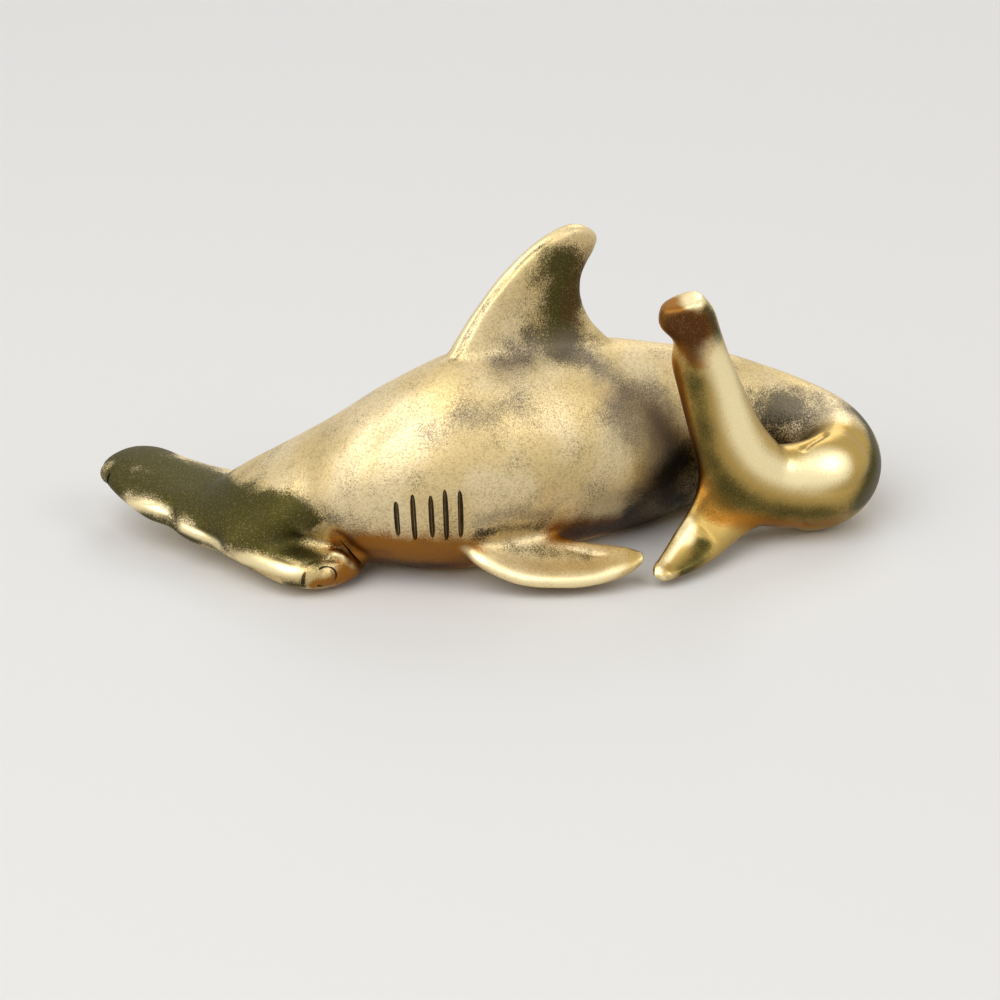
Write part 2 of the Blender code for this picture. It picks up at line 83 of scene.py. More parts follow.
# Head blade, across its span from the far tip to the near tip:
# distance along the span, front edge, rear edge, thickness, lift
BLADE = (
    (-12.0, 0.4, -1.0, 0.6, 0.2),
    (-11.6, 1.6, -2.4, 1.6, 0.2),
    (-10.2, 2.6, -3.5, 2.4, 0.2),
    (-7.6, 3.5, -4.0, 2.7, 0.1),
    (-4.8, 3.9, -4.9, 2.9, 0.0),
    (-3.3, 3.6, -5.7, 3.1, 0.0),
    (-1.6, 4.0, -6.4, 3.3, 0.0),
    (0.0, 4.0, -6.8, 3.4, 0.0),
    (1.4, 3.6, -6.4, 3.4, 0.0),
    (3.0, 3.9, -5.4, 3.3, 0.1),
    (6.0, 4.0, -4.0, 3.1, 0.1),
    (8.2, 3.8, -3.2, 2.9, 0.1),
    (9.6, 3.0, -2.9, 2.7, 0.1),
    (10.7, 1.2, -2.7, 2.1, 0.1),
    (11.2, -0.4, -2.0, 0.9, 0.1),
)
BLADE_CENTRE = (-19.2, -2.2, 2.7)
BLADE_YAW = math.radians(-37.0)
BLADE_ROLL = math.radians(7.0)
BLADE_RINGS = 160

# Fins, from root to tip: leading edge x, y, z, trailing edge x, y, z, half thickness
DORSAL = (
    (-4.6, -3.6, 12.6, 10.6, 4.1, 12.0, 2.6),
    (-3.1, -2.9, 16.2, 8.7, 3.1, 15.0, 1.9),
    (-2.1, -2.3, 17.9, 7.3, 2.5, 16.8, 1.5),
    (-0.9, -1.7, 19.6, 6.6, 2.1, 18.6, 1.3),
    (0.8, -0.9, 21.6, 6.5, 2.1, 20.2, 1.25),
    (2.7, 0.1, 23.2, 6.9, 2.4, 21.3, 1.2),
    (4.5, 1.1, 24.2, 7.5, 2.7, 22.4, 1.1),
    (5.9, 1.8, 24.5, 7.7, 2.8, 23.3, 0.9),
    (6.7, 2.2, 24.3, 7.4, 2.6, 23.8, 0.5),
)
PECTORAL = (
    (-3.0, -5.0, 4.2, 6.9, -1.0, 4.6, 2.4),
    (-2.6, -7.5, 3.7, 5.6, -4.0, 3.5, 1.4),
    (-1.5, -9.1, 2.7, 4.9, -5.2, 3.1, 1.0),
    (1.6, -10.1, 1.4, 5.4, -5.6, 2.9, 0.95),
    (4.6, -10.2, 1.1, 6.6, -5.8, 2.7, 0.9),
    (7.4, -9.8, 1.1, 8.4, -6.1, 2.6, 0.85),
    (9.4, -9.1, 1.4, 9.8, -6.7, 2.7, 0.75),
    (10.6, -8.5, 1.8, 10.7, -7.2, 2.7, 0.6),
    (11.2, -8.0, 2.2, 11.1, -7.6, 2.7, 0.4),
)
UPPER_LOBE = (
    (22.8, 0.1, 4.6, 15.2, -1.3, 4.6, 1.9),
    (21.7, -0.3, 7.2, 15.1, -1.5, 6.8, 1.9),
    (19.9, -0.8, 9.8, 14.4, -1.7, 9.6, 1.8),
    (18.3, -1.2, 13.2, 13.6, -1.9, 12.8, 1.7),
    (17.1, -1.7, 16.2, 13.0, -2.3, 15.6, 1.6),
    (16.5, -2.0, 18.0, 13.1, -2.7, 17.2, 1.55),
    (16.0, -2.3, 19.6, 12.0, -3.0, 18.6, 1.6),
    (15.1, -2.6, 20.9, 12.1, -3.2, 20.0, 1.3),
)
LOWER_LOBE = (
    (22.0, 0.4, 3.4, 15.4, -0.8, 7.0, 1.7),
    (20.2, -0.9, 1.9, 15.1, -1.9, 5.5, 1.6),
    (18.3, -2.9, 1.3, 14.2, -3.5, 3.9, 1.25),
    (16.6, -5.0, 1.0, 13.1, -5.3, 2.8, 1.05),
    (14.8, -6.9, 0.8, 12.1, -6.9, 1.9, 0.9),
    (13.5, -7.9, 0.7, 11.6, -7.8, 1.5, 0.75),
    (12.6, -8.5, 0.7, 11.6, -8.4, 1.1, 0.45),
)
TAIL_KEEL = (
    (21.8, 1.6, 1.6, 26.6, 2.6, 1.8, 1.3),
    (22.2, 1.1, 0.7, 26.0, 2.0, 0.7, 1.0),
    (23.0, 0.9, 0.0, 25.3, 1.6, 0.0, 0.7),
)
FIN_RINGS = 90
SECTION_SIDES = 56
SECTION_ROUNDNESS = 2.3
SHOULDER_PLACE = 22.5

# Gill slits on both flanks: distances along the spine, height angle and lengths
GILL_PLACES = (15.6, 16.55, 17.42, 18.04, 18.62)
GILL_TURN = math.radians(-9.2)
GILL_LEAN = math.radians(2.5)
GILL_LENGTHS = (3.0, 4.1, 3.7, 4.6, 4.2)

# Eyes on the ends of the head blade, each in a ring groove: distance along the span, height angle,
# how far it looks outward along the span, how deep it sits
EYES = (
    (10.45, math.radians(8.0), 1.3, 0.74),
    (-11.4, math.radians(-10.0), 2.4, 0.86),
)
EYE_RING_RADIUS = 0.8
EYE_RING_SEAT = 0.16
EYE_RING_WIDTH = 0.18

# Nostril grooves cut across the front of the blade, inside each eye
NOSTRIL_PLACES = (9.4, -10.0)
NOSTRIL_DEPTH = 0.4
NOSTRIL_HEIGHT = 2.4

FILLET_ROUNDS = 40
SMOOTHING = 0.5
FACE_COUNT = 165000
GROUND_REACH = 80.0
TOOL_SIDES = 28

# Slot behind the near wing of the head, from its top to its foot
WING_GAP = ((-11.4, -8.3, 4.3), (-8.7, -7.4, 0.5))
WING_GAP_WAY_IN = (0.1, 0.9, -0.2)
WING_GAP_WIDTH = 0.16
WING_GAP_DEPTH = 0.6

# Marks worked into the skin: points along each, half width, depth (below zero stands proud),
# how dark it is painted along it
MARKS = (
    # line inside the dorsal fin's leading rim
    (((-3.6, -3.6, 14.9), (-2.6, -3.3, 16.3), (-1.7, -2.6, 17.8), (-0.5, -1.9, 19.6), (1.0, -1.2, 21.4),
      (2.6, -0.2, 22.9), (4.1, 0.5, 23.8), (5.1, 1.0, 24.2)), 0.2, 0.15, 0.6),
    # hollow along the top of the near wing, and the ridge behind it
    (((-16.5, -6.8, 4.1), (-14.6, -7.6, 3.8), (-12.9, -8.2, 3.4), (-11.4, -8.6, 2.8)), 0.8, 0.2, 0.0),
    (((-14.4, -7.7, 4.8), (-12.9, -8.1, 4.0), (-11.6, -8.4, 3.2), (-10.2, -8.5, 2.2)), 0.4, -0.3, 0.0),
    # gap between the near wing and the flank behind it
    (((-11.9, -8.2, 4.7), (-11.2, -8.3, 4.2), (-10.3, -8.1, 3.2), (-9.5, -7.7, 2.2), (-9.0, -7.3, 1.2),
      (-8.9, -7.0, 0.3)), 0.5, 0.35, 0.15),
    # brow line over the near eye
    (((-13.9, -9.9, 2.6), (-12.6, -9.2, 2.9), (-11.3, -8.9, 2.7), (-9.9, -8.3, 2.2)), 0.18, 0.1, 0.2),
    # top border of the head's front face, far wing, middle and near wing, with the notches between
    (((-26.9, -0.9, 3.6), (-25.7, -1.8, 4.0), (-24.2, -2.5, 4.1), (-23.6, -3.0, 3.8)), 0.2, 0.1, 0.15),
    (((-22.8, -4.3, 3.4), (-21.4, -5.2, 3.3), (-20.4, -6.0, 3.0), (-19.5, -7.0, 2.9)), 0.2, 0.1, 0.15),
    (((-18.7, -7.5, 2.6), (-17.3, -8.2, 3.1), (-15.3, -9.1, 3.0), (-13.9, -9.9, 2.7)), 0.2, 0.1, 0.15),
    (((-24.2, -2.2, 4.4), (-23.4, -3.3, 3.5), (-23.2, -3.8, 2.4)), 0.3, 0.25, 0.2),
    (((-20.2, -6.0, 3.5), (-19.3, -7.2, 2.6), (-19.2, -7.5, 1.8)), 0.3, 0.22, 0.2),
    # soft fold on the flank
    (((-12.5, -7.4, 7.6), (-10.5, -7.6, 9.7), (-8.7, -7.2, 11.3), (-6.9, -6.8, 12.8),
      (-5.2, -6.5, 13.9)), 0.8, 0.1, 0.0),
    # crease on top of the curl, and the one under the tail
    (((22.8, -0.2, 7.3), (23.7, 0.9, 7.6), (24.5, 1.7, 7.8), (25.0, 2.3, 7.8)), 0.3, 0.22, 0.4),
    (((22.7, -1.3, 2.1), (23.8, -0.7, 1.4), (25.1, -0.1, 1.1), (26.0, 0.1, 1.5)), 0.28, 0.22, 0.5),
    # edge where the flat top of the curl turns over
    (((25.4, 3.0, 7.9), (26.6, 2.6, 7.8), (27.7, 2.2, 7.1), (28.4, 2.0, 6.1), (28.2, 1.3, 5.1),
      (26.9, -0.3, 4.6), (25.0, -1.4, 4.6), (22.7, -1.8, 4.9)), 0.45, 0.14, 0.0),
    # hollow top of the pectoral fin and its fold near the tip
    (((-0.1, -8.0, 3.0), (2.0, -8.4, 2.6), (4.4, -8.3, 2.4), (6.7, -8.0, 2.4),
      (8.7, -7.8, 2.4)), 1.3, 0.2, 0.0),
    (((5.0, -7.0, 2.9), (6.8, -7.4, 2.6), (8.6, -7.8, 2.5)), 0.25, 0.08, 0.2),
    # scoop of the lower lobe
    (((12.8, -8.1, 1.3), (13.7, -7.0, 1.9), (14.8, -5.6, 2.4), (15.7, -4.4, 2.9)), 0.9, 0.25, 0.0),
)

# Places rubbed smooth before casting: centre, reach, rounds of smoothing
SOFT_SPOTS = (
    ((-16.8, -4.2, 5.2), 5.0, 120),
    ((-19.5, -6.5, 3.2), 2.2, 40),
    ((18.2, -2.4, 4.6), 3.6, 120),
    ((24.5, -0.5, 4.5), 3.0, 40),
    ((24.0, 1.4, 0.6), 2.6, 90),
    ((2.0, -6.0, 4.0), 2.6, 30),
    ((2.6, -2.8, 15.6), 4.6, 70),
)

# Zones of age, painted shade, painted dark reflection and painted highlight on the skin, by kind: centre,
# reach along x, y and z, strength
ZONES = {
    "oxide": (
        ((10.6, -1.6, 10.9), (3.6, 3.2, 3.1), 0.7),
        ((9.7, -1.9, 12.1), (1.7, 1.8, 1.0), 0.5),
        ((13.2, 0.0, 8.6), (2.4, 2.4, 3.0), 0.6),
        ((5.6, -5.6, 7.4), (4.4, 2.6, 1.8), 0.3),
        ((23.0, 5.8, 8.0), (4.5, 2.0, 2.5), 0.7),
        ((-10.6, -8.2, 5.0), (1.2, 1.4, 0.9), 0.4),
    ),
    # painted shade in and under the curl of the tail
    "soot_and_shade": (
        ((13.6, 0.4, 5.0), (2.6, 2.8, 2.6), 0.7),
        ((13.4, 1.8, 2.0), (3.8, 3.2, 2.2), 0.8),
        ((21.6, 4.6, 6.0), (3.4, 2.2, 2.4), 0.6),
    ),
    # painted dark reflection on the curl, below the near eye and at the fork of the tail, partly olive film
    "olive_film_and_reflection": (
        ((21.6, 5.6, 8.4), (2.6, 1.6, 1.6), 0.7),
        ((27.9, 3.4, 3.6), (1.8, 3.2, 1.6), 0.8),
        ((-12.2, -9.2, 3.0), (1.6, 0.9, 0.9), 0.6),
        ((16.6, -2.8, 4.4), (2.0, 1.6, 1.7), 0.4),
    ),
    # painted shade and warm reflection on the knob and at the fork of the tail
    "amber_shade": (
        ((14.2, -4.0, 18.3), (2.6, 1.4, 1.7), 1.0),
        ((16.2, -2.6, 4.6), (1.6, 1.6, 1.7), 0.6),
        ((13.0, -3.2, 20.0), (1.2, 1.4, 1.0), 0.8),
    ),
    # painted shade low by the curl and on the knob's face
    "umber_shade": (
        ((12.0, -0.4, 4.2), (3.6, 3.0, 3.0), 0.7),
        ((14.1, -4.1, 18.7), (2.3, 1.3, 1.6), 1.0),
        ((14.6, -3.7, 16.8), (1.0, 1.0, 1.4), 0.6),
    ),
    "gold": (
        ((20.0, -2.6, 8.0), (9.6, 3.4, 14.0), 1.0),
        ((26.0, 1.0, 5.0), (4.4, 4.4, 4.4), 1.0),
        ((13.6, -6.6, 1.6), (3.6, 3.6, 2.6), 1.0),
        ((5.0, -8.6, 2.0), (7.6, 2.4, 1.7), 0.45),
        ((-14.0, -9.6, 2.2), (5.0, 2.0, 1.6), 0.45),
    ),
    # painted highlights on the flat top of the curl, the knob's cap and the lower lobe
    "rubbed": (
        ((25.2, -0.8, 6.6), (2.2, 1.5, 1.2), 1.0),
        ((14.4, -3.2, 20.7), (1.0, 1.2, 0.6), 1.0),
        ((14.2, -5.0, 3.1), (0.8, 1.1, 1.0), 0.9),
    ),
}

# Streaks of age, painted shade, painted dark reflection and painted highlight that follow a line on the
# skin, by kind: points along it, half width, strength
STREAKS = {
    # grey bloom on the flanks and at the root of the dorsal fin
    "oxide": (
        (((-1.4, -3.9, 14.8), (1.0, -3.1, 15.5), (2.8, -1.5, 15.9), (4.6, -0.5, 15.8), (6.4, 0.0, 15.1),
          (7.9, -0.5, 14.2), (9.6, -0.9, 13.2)), 1.7, 0.75),
        (((-6.0, -7.9, 11.7), (-3.7, -8.1, 12.4), (-2.3, -7.7, 12.9), (-0.8, -7.1, 13.3), (0.6, -6.5, 13.4),
          (1.9, -5.9, 13.3), (3.6, -5.2, 12.8)), 1.4, 0.6),
        (((-2.2, -9.3, 5.8), (-0.1, -9.0, 6.0), (1.6, -8.3, 5.9), (3.4, -7.4, 5.4),
          (5.0, -6.2, 4.6)), 1.1, 0.8),
        (((9.2, -1.6, 4.0), (11.0, -1.2, 5.6), (12.4, -0.4, 7.2), (13.8, 0.4, 8.2)), 1.8, 0.7),
        (((-14.4, -6.4, 7.4), (-13.0, -7.4, 6.7), (-11.8, -8.1, 6.0), (-10.8, -8.4, 5.2)), 0.8, 0.5),
        (((-7.0, 1.6, 5.8), (-5.2, 2.8, 6.2), (-3.6, 3.6, 6.2), (-1.6, 4.4, 5.9),
          (0.4, 5.0, 5.4)), 1.2, 0.7),
        (((-2.0, 3.4, 11.8), (2.0, 5.2, 11.6), (6.0, 7.4, 10.4), (9.0, 9.0, 8.8),
          (13.0, 10.4, 7.6)), 1.8, 0.6),
        (((15.0, 9.6, 9.4), (18.0, 11.0, 8.2), (21.0, 11.6, 6.6)), 1.6, 0.6),
    ),
    # painted shade with black oxide: black in the curl, low on the flank, behind the pectoral fins and
    # under the belly
    "soot_and_shade": (
        (((-13.1, -7.7, 6.7), (-12.3, -8.1, 6.0), (-11.6, -8.4, 4.8)), 0.45, 0.5),
        (((-11.0, -6.6, 0.8), (-6.7, -6.5, 0.9), (-4.5, -7.1, 1.0), (-1.7, -6.9, 1.0)), 1.0, 0.6),
        (((5.4, -5.1, 2.9), (7.2, -3.3, 2.2), (9.1, -1.2, 1.5), (11.1, 1.4, 0.7),
          (14.0, 2.6, 0.8)), 1.1, 0.6),
        (((-2.2, -9.0, 4.4), (-0.1, -8.7, 4.8), (1.3, -8.0, 4.8), (2.8, -7.2, 4.5),
          (4.4, -6.1, 4.0)), 0.6, 0.75),
        (((9.0, -2.0, 2.4), (11.3, -1.4, 4.0), (12.8, -0.7, 5.3), (14.2, 0.3, 6.3),
          (15.6, 1.2, 6.6)), 1.3, 0.7),
        (((-7.0, 1.4, 4.6), (-5.2, 2.4, 5.0), (-3.6, 3.2, 5.0), (-1.6, 4.0, 4.7),
          (0.0, 4.6, 4.2)), 0.6, 0.7),
    ),
    # olive film and painted dark reflection over the top of the head up to the neck, the trailing half of
    # the dorsal fin, the tail's bends
    "olive_film_and_reflection": (
        (((-29.8, 0.6, 3.8), (-28.6, 2.4, 4.9), (-26.8, 3.7, 5.3), (-25.3, 3.3, 5.2), (-23.7, 2.5, 4.9),
          (-22.1, 1.2, 4.7), (-20.4, -0.6, 4.8)), 2.0, 1.0),
        (((-27.0, -0.6, 3.9), (-28.3, 0.8, 3.9), (-28.9, 2.0, 4.2), (-28.6, 3.1, 5.0), (-27.9, 4.5, 5.2),
          (-26.6, 5.4, 5.2), (-25.1, 5.7, 5.0), (-23.4, 4.6, 4.8)), 1.5, 1.0),
        (((-28.8, -0.4, 4.2), (-25.4, 0.3, 4.8), (-23.4, -1.2, 4.5), (-21.5, -3.0, 4.3), (-19.5, -5.3, 4.7),
          (-17.5, -6.7, 4.9), (-15.7, -7.6, 4.9), (-13.0, -8.2, 4.6)), 1.9, 1.0),
        (((-21.8, -4.2, 4.0), (-18.6, -7.0, 4.1), (-17.2, -7.7, 4.0), (-15.7, -8.1, 3.8),
          (-14.5, -8.4, 3.5), (-13.3, -8.6, 3.2), (-11.8, -9.0, 2.8)), 1.15, 1.0),
        (((-22.4, 2.6, 4.6), (-20.0, -2.2, 5.2), (-18.5, -4.8, 5.5), (-17.0, -6.4, 5.6), (-15.6, -7.3, 5.6),
          (-14.2, -7.9, 5.4), (-12.6, -8.3, 5.0)), 1.5, 1.0),
        (((-15.4, -6.6, 6.3), (-14.3, -7.3, 6.0), (-13.2, -7.9, 5.6), (-12.4, -8.2, 4.8)), 0.9, 0.9),
        (((-27.8, -0.4, 2.2), (-25.8, -2.2, 2.7), (-24.4, -3.0, 2.6), (-23.2, -3.9, 2.3),
          (-22.0, -5.2, 2.1), (-20.6, -6.2, 1.8), (-19.2, -7.2, 1.4), (-17.6, -8.4, 1.3),
          (-15.8, -9.4, 1.1)), 0.6, 0.9),
        (((-15.2, -9.6, 1.3), (-14.2, -10.2, 1.2), (-13.2, -10.3, 1.1)), 0.6, 0.7),
        (((3.4, -1.0, 14.8), (4.4, 0.1, 16.6), (4.8, 0.4, 18.4), (5.1, 0.8, 20.2), (5.5, 1.1, 21.8),
          (6.2, 1.5, 23.4)), 2.8, 0.8),
        (((26.6, -0.6, 2.6), (28.1, 1.1, 3.2), (28.8, 2.1, 4.8), (28.9, 3.2, 6.1), (28.4, 4.9, 7.2),
          (27.6, 6.5, 7.7), (26.3, 7.6, 8.3)), 1.2, 0.75),
        (((14.2, -3.5, 17.4), (14.6, -3.3, 15.0), (15.0, -3.0, 12.7), (15.4, -2.8, 10.3), (15.9, -2.7, 8.2),
          (16.9, -2.5, 6.3), (18.3, -2.4, 4.7), (20.2, -2.0, 3.6), (22.4, -1.6, 3.0), (24.7, -1.3, 2.8),
          (26.6, -0.3, 2.9), (28.0, 1.0, 3.2)), 1.15, 0.55),
        (((15.8, -4.5, 2.7), (15.2, -6.0, 1.8), (14.4, -7.2, 1.2), (13.4, -8.2, 0.9)), 1.0, 0.6),
        (((-0.4, -8.2, 3.4), (2.4, -7.8, 3.0), (5.6, -7.6, 2.6), (8.2, -7.6, 2.4)), 0.9, 0.38),
        (((14.9, -3.6, 20.4), (15.7, -3.4, 19.4), (16.2, -3.1, 18.0), (16.4, -2.9, 16.8)), 0.7, 0.75),
        (((-13.4, 1.4, 8.2), (-16.6, 1.0, 6.2), (-19.0, 1.6, 4.4)), 1.2, 0.6),
    ),
    # painted shade and painted warm reflection: brown under the flanks, the tail and the knob
    "amber_shade": (
        (((-12.4, -6.4, 1.6), (-10.3, -6.8, 1.9), (-8.5, -7.4, 2.1), (-6.6, -7.8, 2.2), (-4.8, -8.0, 2.2),
          (-3.0, -7.9, 2.1), (0.0, -7.2, 1.8)), 3.1, 1.0),
        (((-12.0, -7.6, 3.6), (-11.1, -7.8, 3.7), (-10.1, -7.7, 3.4), (-8.7, -8.3, 3.5), (-7.2, -8.5, 3.4),
          (-5.8, -8.7, 3.3), (-4.3, -8.6, 3.0), (-2.9, -8.4, 2.7), (-1.4, -8.0, 2.4)), 1.0, 1.0),
        (((2.6, -6.6, 3.0), (5.4, -5.1, 2.9), (7.2, -3.3, 2.3), (9.1, -1.2, 1.6), (11.1, 1.4, 0.7),
          (13.6, 2.9, 0.6)), 1.7, 0.9),
        (((12.9, -3.3, 18.2), (13.8, -4.0, 18.2), (14.6, -3.7, 17.4), (15.2, -3.5, 16.2),
          (15.4, -3.4, 15.0)), 1.1, 1.0),
        (((12.7, -3.0, 17.0), (13.3, -2.6, 14.6), (13.9, -2.3, 11.6), (14.4, -2.1, 9.0), (15.0, -2.1, 6.4),
          (15.1, -2.9, 4.6)), 0.75, 0.9),
        (((15.0, -2.9, 4.6), (16.4, -3.1, 3.9), (17.9, -2.8, 3.2), (19.8, -1.9, 2.4), (22.4, -1.4, 1.6),
          (24.8, -0.8, 1.3), (27.2, 0.3, 1.6)), 1.2, 0.7),
        (((-13.6, -10.0, 1.2), (-12.2, -10.0, 1.2), (-10.8, -9.4, 1.4), (-9.6, -8.2, 1.6)), 0.6, 0.8),
        (((-17.0, 1.2, 2.2), (-13.4, 2.2, 2.2), (-8.3, 2.6, 2.2), (-3.6, 3.2, 2.0), (2.0, 5.6, 2.0),
          (8.0, 8.4, 2.0), (13.0, 10.2, 2.0), (17.8, 11.4, 2.0), (22.0, 12.0, 2.2),
          (26.0, 11.0, 2.2)), 2.3, 0.95),
    ),
    # painted shade and painted dark reflection: dark red-brown under the belly, on the knob and at the
    # dorsal fin's rear edge
    "umber_shade": (
        (((5.2, 0.6, 16.4), (6.0, 1.0, 18.4), (6.4, 1.4, 20.2), (6.9, 1.7, 22.0),
          (7.4, 2.0, 23.4)), 1.4, 0.45),
        (((-12.0, -6.6, 1.0), (-8.5, -7.0, 1.2), (-5.0, -7.4, 1.2), (-1.0, -7.0, 1.0)), 1.2, 0.7),
        (((-11.6, -7.7, 3.2), (-10.2, -7.7, 2.9), (-8.6, -8.2, 2.9), (-7.2, -8.4, 2.8)), 0.5, 0.5),
        (((4.6, -5.6, 3.0), (7.2, -3.3, 2.6), (9.6, -1.0, 2.0), (12.0, 1.4, 1.4)), 1.5, 0.85),
        (((-13.4, 2.0, 0.8), (-8.3, 2.4, 0.8), (-3.6, 3.0, 0.7), (2.0, 5.4, 0.7), (8.0, 8.2, 0.7),
          (13.0, 10.0, 0.7), (17.8, 11.2, 0.7), (22.0, 11.6, 0.8)), 1.3, 0.7),
    ),
    # painted highlights on the rims of the head, the fins and the tail, partly brass kept bright by
    # handling
    "rubbed": (
        (((-27.4, -0.4, 3.1), (-26.4, -1.2, 3.5), (-25.2, -2.2, 3.8), (-23.4, -2.9, 3.6)), 0.42, 1.0),
        (((-23.2, -4.0, 3.2), (-21.9, -5.0, 3.0), (-20.8, -5.7, 2.8), (-19.2, -7.0, 2.5)), 0.36, 1.0),
        (((-19.0, -7.0, 1.9), (-17.3, -8.4, 2.3), (-16.0, -9.3, 2.3), (-14.9, -9.9, 2.3),
          (-13.2, -10.3, 2.2)), 0.5, 1.0),
        (((-14.3, -7.7, 4.5), (-12.8, -7.9, 3.8), (-11.4, -8.5, 3.1), (-10.3, -8.5, 2.3),
          (-9.6, -8.0, 1.5)), 0.34, 0.7),
        (((15.6, -3.7, 18.6), (16.1, -3.3, 16.8), (17.1, -2.9, 14.2), (17.7, -2.7, 11.8), (18.5, -2.6, 9.4),
          (19.6, -2.3, 7.6), (21.2, -1.8, 6.4), (23.0, -1.4, 5.8), (25.2, -1.0, 5.8),
          (27.0, 0.2, 6.0)), 1.25, 1.0),
        (((-2.4, -8.2, 3.9), (-1.6, -8.9, 3.2), (-0.1, -9.5, 2.5), (1.7, -10.0, 1.8), (4.2, -10.2, 1.4),
          (6.7, -9.9, 1.4), (8.6, -9.3, 1.7), (10.4, -8.4, 2.4)), 0.5, 1.0),
        (((14.6, -3.6, 3.9), (14.0, -5.1, 2.9), (13.0, -6.7, 2.0), (12.2, -8.1, 1.3),
          (12.6, -8.8, 0.9)), 0.35, 1.0),
        (((-4.4, -3.6, 14.2), (-3.4, -3.2, 16.0), (-2.4, -2.5, 17.6), (-1.2, -1.9, 19.4), (0.5, -1.0, 21.3),
          (2.4, 0.0, 22.9), (4.6, 1.2, 24.1), (6.6, 2.2, 24.3)), 0.4, 0.7),
    ),
}

SHARP_ANGLE = math.radians(42.0)

# How marks, zones and streaks fade at their borders
MARK_STEPS = 60
MARK_REACH = 3.0
MARK_END_FADE = 8.0
MARK_DARK_REACH = 1.1
ZONE_REACH = 1.1
ZONE_EDGE = 1.6
EGG_FADE = 0.25
CUT_CALM = 3.0

# How painted shade darkens the hollows and painted highlight lights the crests, partly wear, and what keeps
# them from it
CURVE_ROUNDS = 5
SHORT_EDGE = 0.05
HOLLOW_CURVE = 1.6
CREST_CURVE = 2.4
CREST_SHINE = 0.7
HOLLOW_SHADE = 0.6
AMBER_COVER = 0.6
EYE_KEEPS_OFF_OLIVE = 0.6
EYE_KEEPS_OFF_SHINE = 0.7

# How black the faces of each cut are painted
EYE_RING_DARK = 1.0
GROOVE_DARK = 0.25
GILL_DARK = 0.68
GROUND_DARK = 0.7

# Layers of age, painted shade, painted dark reflection and painted highlight over the brass, and the size
# of the noises that break them up
LAYERS = ("oxide", "olive_film_and_reflection", "amber_shade", "umber_shade", "gold", "rubbed")
GRAIN_SIZE = 0.11
MOTTLE_SIZE = 0.26
FLECK_SIZE = 0.12
CLOUD_SIZE = 2.2
DRIFT_SIZE = 5.0
GRAIN_DEPTH = 0.02

# The stage, in metres
FLOOR_SIZE = 6.0
KEY_PLACE, KEY_SIZE = (-0.20, -0.24, 0.42), 0.60
FILL_PLACE, FILL_SIZE = (0.36, -0.20, 0.34), 0.30
BACK_PLACE, BACK_SIZE = (0.10, 0.40, 0.36), 0.30
CAMERA_TARGET = (0.00063, -0.00091, 0.0033)
CAMERA_DISTANCE = 0.279


class SharkCastingSettings(bpy.types.PropertyGroup):
    """Sizes and colours of the casting."""

    voxel: bpy.props.FloatProperty(
        name="Skin Fineness", description="Grid size of the skin", default=0.00015, unit="LENGTH"
    )
    gill_width: bpy.props.FloatProperty(
        name="Gill Width", description="Width of each gill slit", default=0.0004, unit="LENGTH"
    )
    gill_depth: bpy.props.FloatProperty(
        name="Gill Depth", description="Depth of each gill slit", default=0.00055, unit="LENGTH"
    )
    eye_radius: bpy.props.FloatProperty(
        name="Eye Radius", description="Radius of each eyeball", default=0.00088, unit="LENGTH"
    )
    nostril_width: bpy.props.FloatProperty(
        name="Nostril Width", description="Width of each nostril groove", default=0.00026, unit="LENGTH"
    )
    brass: bpy.props.FloatVectorProperty(
        name="Brass", description="Colour of the satin brass",
        subtype="COLOR", default=(0.68, 0.525, 0.255),
    )
    # painted highlight on the rims, facets and crests, partly brass kept bright by handling
    rubbed: bpy.props.FloatVectorProperty(
        name="Rubbed Brass", description="Colour where handling keeps it bright",
        subtype="COLOR", default=(0.94, 0.79, 0.455),
    )
    brass_pale: bpy.props.FloatVectorProperty(
        name="Pale Brass", description="Colour that the satin brass drifts to",
        subtype="COLOR", default=(0.78, 0.635, 0.38),
    )
    gold: bpy.props.FloatVectorProperty(
        name="Gold Brass", description="Colour of the smooth yellow metal",
        subtype="COLOR", default=(0.46, 0.31, 0.09),
    )
    # painted shade and painted warm reflection low on the casting
    amber_shade: bpy.props.FloatVectorProperty(
        name="Amber", description="Colour low on the casting",
        subtype="COLOR", default=(0.33, 0.135, 0.016),
    )
    # painted shade, dark red-brown, under the belly, in the curl and on the knob's face
    umber_shade: bpy.props.FloatVectorProperty(
        name="Umber", description="Colour of the dark red-brown film",
        subtype="COLOR", default=(0.095, 0.036, 0.010),
    )
    # green-brown film with painted dark reflection on the head, the fins and the tail
    olive_film_and_reflection: bpy.props.FloatVectorProperty(
        name="Olive", description="Colour of the green-brown film",
        subtype="COLOR", default=(0.066, 0.058, 0.014),
    )
    speckle: bpy.props.FloatVectorProperty(
        name="Speckle", description="Colour of the fine dark flecks",
        subtype="COLOR", default=(0.27, 0.18, 0.08),
    )
    oxide: bpy.props.FloatVectorProperty(
        name="Oxide", description="Colour of the grey bloom",
        subtype="COLOR", default=(0.20, 0.165, 0.12),
    )
    # black oxide in the cuts and grooves, and painted shade in the curl, the hollows and under the belly
    soot_and_shade: bpy.props.FloatVectorProperty(
        name="Black Oxide", description="Colour in the hollows",
        subtype="COLOR", default=(0.024, 0.020, 0.013),
    )


